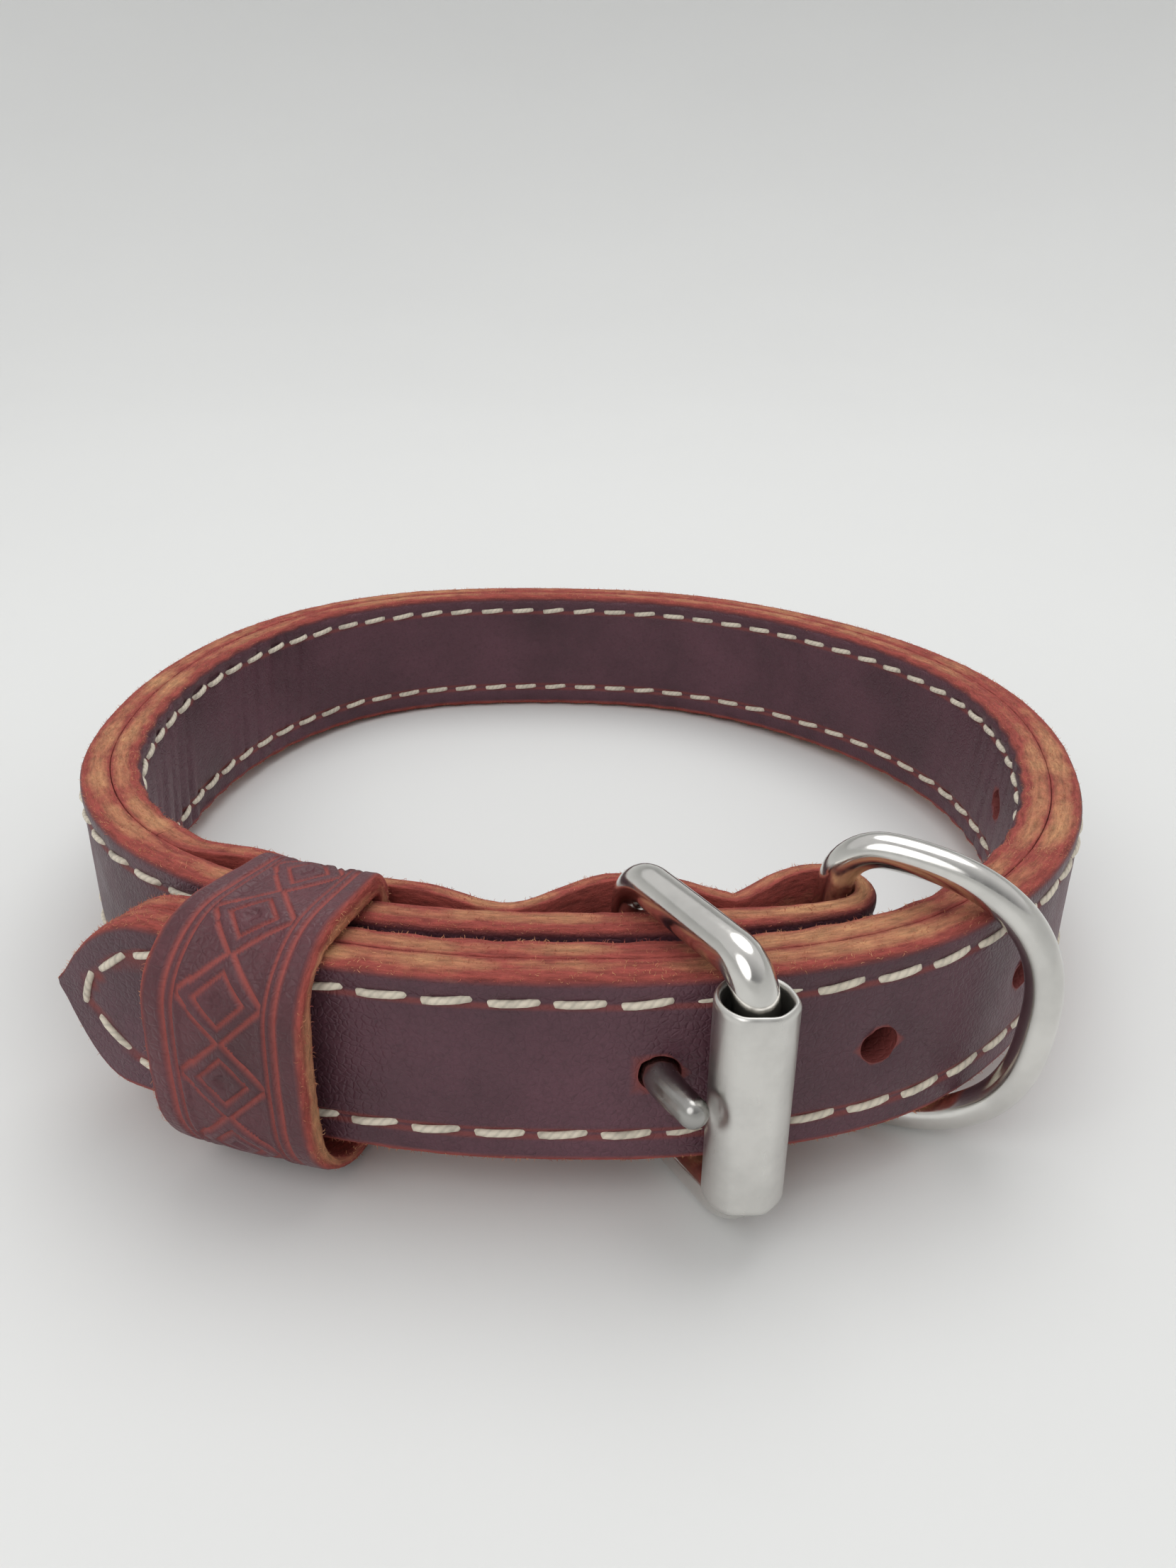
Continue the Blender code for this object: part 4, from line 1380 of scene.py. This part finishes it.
def leather_material(name, grain, tan, dye, tooled):
    """Waxed grain where the finish attribute says so, and dyed, fibrous tan on the cut edges and flesh."""
    material, graph, shader, place = new_material(name)
    route = graph.attribute("route")["Vector"]
    parts = graph.add("ShaderNodeSeparateColor", {"Color": graph.attribute("finish")["Color"]}).outputs
    smooth, across, score = parts["Red"], parts["Green"], parts["Blue"]

    # The waxed face: clouded and specked, with red in its scored and tooled lines
    clouds = graph.noise(place, 42, 5, 0.62)
    pores = graph.noise(place, 1500, 3, 0.6)
    dark = toned(grain, 0.62)
    face = graph.ramp(clouds, (0.3, dark), (0.5, grain), (0.72, toned(grain, 1.32)))
    face = graph.mix(graph.ramp(pores, (0.5, 0.0), (0.75, 0.55)), face, dark)
    face = graph.mix(graph.times(score, 0.75), face, toned(dye, 1.0 if tooled else 0.62))

    # The cut edge: dye from both faces in bands and patches over tan, streaked along its fibres
    fibres = graph.noise(route, 1500, 6, 0.72, (0.2, 1, 1))
    bands = graph.ramp(across, (0.0, 0.75), (0.1, 0.3), (0.3, 0.0), (0.55, 0.12), (0.75, 0.75), (0.9, 1.0))
    patches = graph.ramp(graph.noise(place, 48, 4, 0.6), (0.38, 0.0), (0.6, 0.85))
    mottle = graph.math("SUBTRACT", graph.noise(route, 300, 5, 0.7, (0.5, 1, 1)), 0.5)
    dyed = graph.plus(graph.plus(bands, patches), graph.times(mottle, 1.5))
    dyed = graph.math("MINIMUM", graph.math("MAXIMUM", dyed, 0.0), 1.0)
    streaks = graph.ramp(fibres, (0.3, 0.5), (0.62, 1.15))
    edge = graph.mix(1.0, graph.mix(dyed, tan, dye), streaks, "MULTIPLY")

    gloss = graph.ramp(graph.noise(place, 170, 4, 0.65), (0.3, 0.3 if tooled else 0.34), (0.7, 0.5))
    gloss = graph.mix(score, gloss, (0.7, 0.7, 0.7))
    pebble = graph.times(pebble_grain(graph, place, 850 if tooled else 1150), 0.7)
    relief = graph.plus(graph.plus(pebble, pores), graph.times(clouds, 1.5))
    raw = graph.plus(fibres, graph.times(graph.noise(place, 620, 6, 0.75), 1.3))
    height = graph.mix(smooth, graph.times(raw, 7.0), relief)
    finish = {
        "Base Color": graph.mix(smooth, edge, face),
        "Roughness": graph.mix(smooth, (0.95, 0.95, 0.95), gloss),
        "Specular IOR Level": 0.38,
        "Normal": graph.bump(height, 0.7, 0.00012),
    }
    graph.feed(shader, finish)
    return material


def thread_material(colour):
    """Waxed twisted thread: its strands wind along the stitch's own UV map, with painted shade darkening the
    grooves between them.
    """
    material, graph, shader, place = new_material("waxed_thread")
    split = graph.add("ShaderNodeSeparateXYZ", {"Vector": graph.attribute("thread")["Vector"]})
    along = graph.times(split.outputs["X"], 2 * math.pi * THREAD_TURNS)
    around = graph.times(split.outputs["Y"], 2 * math.pi * THREAD_STRANDS)
    twist = graph.math("SINE", graph.plus(along, around))
    tone = graph.ramp(graph.noise(place, 420, 4, 0.6), (0.28, toned(colour, 0.66)), (0.52, colour))
    # Painted shade: the thread's colour is multiplied down to 0.8 in the grooves between its twisted strands
    painted_strand_shade = graph.plus(graph.times(twist, 0.5), 0.5)
    finish = {
        "Base Color": graph.mix(1.0, tone, graph.ramp(painted_strand_shade, (0.0, 0.8), (0.45, 1.0)), "MULTIPLY"),
        "Roughness": 0.6,
        "Normal": graph.bump(twist, 0.5, 0.00006),
    }
    graph.feed(shader, finish)
    return material


def fibre_material(tan, dye):
    material, graph, shader, place = new_material("edge_fibre")
    pale = toned(tan, 1.15, 0.03)
    tone = graph.ramp(graph.noise(place, 130, 4, 0.7), (0.4, dye), (0.55, tan), (0.7, pale))
    graph.feed(shader, {"Base Color": tone, "Roughness": 0.9})
    return material


def metal_material(name, colour, roughness, grain_scale, grain_stretch, depth):
    """Plated steel with fine rub marks, along Z where it is brushed."""
    material, graph, shader, place = new_material(name)
    rub = graph.noise(place, grain_scale, 6, 0.7, grain_stretch)
    tone = graph.ramp(graph.noise(place, 120, 4, 0.6), (0.35, toned(colour, 0.86)), (0.6, colour))
    finish = {
        "Base Color": tone,
        "Metallic": 1.0,
        "Roughness": graph.ramp(rub, (0.3, max(roughness - 0.04, 0.03)), (0.7, roughness + 0.09)),
        "Normal": graph.bump(rub, 0.35, depth),
    }
    graph.feed(shader, finish)
    return material


def strap_material():
    """The strap's leather, which both plies share and which is made once."""
    leather = bpy.context.scene.collar_leather
    colours = (tuple(leather.grain), tuple(leather.tan), tuple(leather.dye))
    name = "burgundy_leather"
    return bpy.data.materials.get(name) or leather_material(name, *colours, False)


def polished_material():
    """The polished steel, which the buckle's wire and the D-ring share and which is made once."""
    metal = bpy.context.scene.collar_metal
    values = (tuple(metal.steel), metal.polish, 900, (1, 1, 1), 0.000004)
    name = "polished_wire"
    return bpy.data.materials.get(name) or metal_material(name, *values)


# Operators


class COLLAR_OT_strap(bpy.types.Operator):
    """Make the strap's two stitched plies, punched and slotted"""

    bl_idname = "collar.strap"
    bl_label = "Strap"

    def execute(self, context):
        stitch = context.scene.collar_stitch
        outer = ply_piece("outer_ply", outer_rows(), False, stitch, strap_material())
        inner = ply_piece("inner_ply", inner_rows(), True, stitch, strap_material())
        punch((outer, inner))
        cut_tongue_slot(outer)
        plies = (
            (outer, "strap_outer_ply", "strap_leather"),
            (inner, "strap_inner_ply", "lining_leather"),
        )
        for piece, node, slot in plies:
            piece.data.set_sharp_from_angle(angle=math.radians(62))
            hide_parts(node)
            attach(piece, "collar")
        return {"FINISHED"}


class COLLAR_OT_keeper(bpy.types.Operator):
    """Make the tooled keeper"""

    bl_idname = "collar.keeper"
    bl_label = "Keeper"

    def execute(self, context):
        leather = context.scene.collar_leather
        colours = (tuple(leather.keeper), tuple(leather.tan), tuple(leather.dye))
        finish = leather_material("keeper_leather_tooled", *colours, True)
        keeper = keeper_piece(context.scene.collar_tooling, finish)
        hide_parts("keeper")
        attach(keeper, "collar")
        return {"FINISHED"}


class COLLAR_OT_stitches(bpy.types.Operator):
    """Lay the saddle stitches on both faces of the strap"""

    bl_idname = "collar.stitches"
    bl_label = "Stitches"

    def execute(self, context):
        stitch = context.scene.collar_stitch
        thread = thread_material(tuple(stitch.colour))
        shape = stitch_shape(thread)
        tree = stitch_tree()
        sunk = stitch.groove * 0.75

        def outer_face(distance):
            bearing = bearing_at(distance)
            away = abs(distance - distance_at(FRONT_BAR_BEARING))
            pressed = ROLLER_PRESS * (1 - ease(away, 4 * MM, 8 * MM))
            return seam_offset(bearing, GRAIN - sunk - pressed), seam_normal(bearing)

        def inner_face(distance):
            bearing = bearing_at(distance)
            return seam_offset(bearing, -GRAIN + sunk), -seam_normal(bearing)

        def turned_face(distance):
            bearing = bearing_at(distance)
            ahead, behind = (seam_offset(bearing + t, -parting(bearing + t)) for t in (0.5, -0.5))
            along = ahead - behind
            normal = Vector((-along.y, along.x, 0)).normalized()
            face = seam_offset(bearing, -parting(bearing)) + normal * (turned_thickness(bearing) - sunk)
            return face, normal

        butt = distance_at(360 + BUTT_BEARING)
        row_end = distance_at(360 + ROW_END_BEARING)
        turned = [
            [(d, row) for d in np.arange(butt + ROW_END_GAP, row_end, 3 * MM)]
            for row in (UPPER_ROW, LOWER_ROW)
        ]
        rows = (
            ("outer_stitches", outer_face, strap_runs(row_end)),
            ("inner_stitches", inner_face, strap_runs(butt - ROW_END_GAP)),
            ("turned_stitches", turned_face, turned),
        )
        for name, face, runs in rows:
            frames = stitch_frames(face, stitch.pitch, runs)
            values = {
                "Stitch": shape,
                "Length": stitch.length * (INNER_STITCH if name == "inner_stitches" else 1.0),
                "Thickness": stitch.thread,
                "Slant": stitch.slant,
                "Seed": STITCH_SEED,
                "Material": thread,
            }
            piece = grown_piece(name, stitch_points(name, frames), tree, values, thread)
            piece.data.shade_smooth()
            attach(piece, "collar")
        bpy.data.objects.remove(shape)
        return {"FINISHED"}


class COLLAR_OT_nap(bpy.types.Operator):
    """Raise the nap on the cut edges of the strap and the keeper"""

    bl_idname = "collar.nap"
    bl_label = "Edge nap"

    def execute(self, context):
        leather = context.scene.collar_leather
        finish = fibre_material(tuple(leather.tan), tuple(leather.dye))
        shape = fibre_shape(finish)
        tree = nap_tree()
        grown = (("outer_nap", "outer_ply"), ("inner_nap", "inner_ply"), ("keeper_nap", "keeper_band"))
        for name, source in grown:
            values = {
                "Fibre": shape,
                "Density": leather.nap_density,
                "Length": leather.nap_length,
                "Seed": leather.seed,
                "Material": finish,
            }
            base = bpy.data.objects[source].data.copy()
            piece = grown_piece(name, base, tree, values, finish)
            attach(piece, "collar")
        bpy.data.objects.remove(shape)
        return {"FINISHED"}


class COLLAR_OT_buckle(bpy.types.Operator):
    """Make the buckle's frame, tongue and roller"""

    bl_idname = "collar.buckle"
    bl_label = "Buckle"

    def execute(self, context):
        metal = context.scene.collar_metal
        dull = toned(metal.steel, 0.62)
        worn = metal_material("worn_tongue", dull, 0.2, 900, (1, 1, 1), 0.000006)
        grain = (1400, (1, 1, 0.12), 0.00001)
        brushed = metal_material("brushed_roller", tuple(metal.steel), metal.brushed, *grain)
        wire = wire_piece("buckle_wire", frame_path(), BUCKLE_WIRE, polished_material())
        tongue = tongue_piece(worn)
        roller = roller_piece(brushed)
        pieces = (
            (wire, "buckle_frame", "collar", "polished_steel"),
            (tongue, "buckle_tongue", "collar", "polished_steel"),
            (roller, "buckle_roller", "roller", "brushed_steel"),
        )
        for piece, node, body, slot in pieces:
            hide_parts(node)
            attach(piece, body)
        return {"FINISHED"}


class COLLAR_OT_ring(bpy.types.Operator):
    """Make the D-ring"""

    bl_idname = "collar.ring"
    bl_label = "D-ring"

    def execute(self, context):
        ring = wire_piece("leash_d_ring", ring_path(), RING_WIRE, polished_material())
        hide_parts("d_ring")
        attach(ring, "leash_ring")
        return {"FINISHED"}


class COLLAR_OT_stage(bpy.types.Operator):
    """Set the floor, the lights, the surround and the camera"""

    bl_idname = "collar.stage"
    bl_label = "Stage"

    def execute(self, context):
        stage = context.scene.collar_stage
        make_floor(tuple(stage.floor))
        make_surround(stage.sky)
        make_light("key_light", *KEY_LIGHT, stage.key)
        make_light("fill_light", *FILL_LIGHT, stage.fill)
        make_camera(context.scene)
        context.scene.view_settings.view_transform = "Standard"
        return {"FINISHED"}


def make_floor(colour):
    """A pale table that curves up into a round backdrop, so that no view sees an edge."""
    material, graph, shader, place = new_material("pale_table")
    tone = graph.ramp(graph.noise(place, 6, 3), (0.3, toned(colour, 0.985)), (0.7, colour))
    graph.feed(shader, {"Base Color": tone, "Roughness": 0.6, "Specular IOR Level": 0.2})
    profile = [(0.12, 0.0), (0.4, 0.0), (TABLE_FLAT, 0.0)]
    for k in range(1, 25):
        angle = math.radians(85) * k / 24
        profile.append((TABLE_FLAT + COVE * math.sin(angle), COVE * (1 - math.cos(angle))))
    count = 128
    points = [Vector((0, 0, 0))]
    for radius, height in profile:
        for k in range(count):
            angle = 2 * math.pi * k / count
            points.append(Vector((radius * math.cos(angle), radius * math.sin(angle), height)))
    faces = [(0, 1 + k, 1 + (k + 1) % count) for k in range(count)]
    for row in range(len(profile) - 1):
        for k in range(count):
            near, far = 1 + row * count, 1 + (row + 1) * count
            beside = (k + 1) % count
            faces.append((near + k, far + k, far + beside, near + beside))
    mesh = bpy.data.meshes.new("floor")
    mesh.from_pydata(points, [], faces)
    mesh.shade_smooth()
    new_piece("floor", mesh, material)


def make_surround(strength):
    """A pale room that is darker on the camera's side, so the metal has something to show."""
    world = bpy.data.worlds.new("pale_room")
    bpy.context.scene.world = world
    world.use_nodes = True
    graph = Graph(world.node_tree)
    direction = graph.add("ShaderNodeTexCoord").outputs["Generated"]
    split = graph.add("ShaderNodeSeparateXYZ", {"Vector": direction})
    share = graph.plus(graph.times(split.outputs["Y"], 0.5), 0.5)
    tone = graph.ramp(share, (0.05, (0.22, 0.22, 0.225)), (0.3, (0.7, 0.7, 0.7)), (0.5, (1.0, 1.0, 1.0)))
    graph.feed(world.node_tree.nodes["Background"], {"Color": tone, "Strength": strength})


def make_light(name, place, target, size, power):
    data = bpy.data.lights.new(name, "AREA")
    data.shape = "DISK"
    data.size = size
    data.energy = power
    light = bpy.data.objects.new(name, data)
    bpy.context.scene.collection.objects.link(light)
    light.location = place
    light.rotation_mode = "QUATERNION"
    light.rotation_quaternion = (Vector(target) - Vector(place)).to_track_quat("-Z", "Y")


def make_camera(scene):
    data = bpy.data.cameras.new("camera")
    data.lens = CAMERA_LENS
    data.sensor_width = 36.0
    data.clip_start = 0.01
    camera = bpy.data.objects.new("camera", data)
    scene.collection.objects.link(camera)
    camera.location = CAMERA_PLACE
    camera.rotation_euler = [math.radians(turn) for turn in CAMERA_TURN]
    scene.camera = camera


class COLLAR_PT_panel(bpy.types.Panel):
    """Lists the collar's settings and makers"""

    bl_idname = "COLLAR_PT_panel"
    bl_label = "Dog Collar"
    bl_space_type = "VIEW_3D"
    bl_region_type = "UI"
    bl_category = "Collar"

    def draw(self, context):
        layout = self.layout
        for name, group in SETTINGS:
            box = layout.box()
            for field in group.__annotations__:
                box.prop(getattr(context.scene, name), field)
        for operator in OPERATORS:
            layout.operator(operator.bl_idname)


SETTINGS = (
    ("collar_stitch", CollarStitchSettings),
    ("collar_leather", CollarLeatherSettings),
    ("collar_tooling", CollarToolingSettings),
    ("collar_metal", CollarMetalSettings),
    ("collar_stage", CollarStageSettings),
)
OPERATORS = (
    COLLAR_OT_strap,
    COLLAR_OT_keeper,
    COLLAR_OT_stitches,
    COLLAR_OT_nap,
    COLLAR_OT_buckle,
    COLLAR_OT_ring,
    COLLAR_OT_stage,
)


def register():
    for name, group in SETTINGS:
        bpy.utils.register_class(group)
        setattr(bpy.types.Scene, name, PointerProperty(type=group))
    for cls in (*OPERATORS, COLLAR_PT_panel):
        bpy.utils.register_class(cls)


def unregister():
    for cls in (COLLAR_PT_panel, *reversed(OPERATORS)):
        bpy.utils.unregister_class(cls)
    for name, group in reversed(SETTINGS):
        delattr(bpy.types.Scene, name)
        bpy.utils.unregister_class(group)


def main():
    register()
    bpy.ops.collar.strap()
    bpy.ops.collar.keeper()
    bpy.ops.collar.stitches()
    bpy.ops.collar.nap()
    bpy.ops.collar.buckle()
    bpy.ops.collar.ring()
    bpy.ops.collar.stage()


if __name__ == "__main__":
    main()
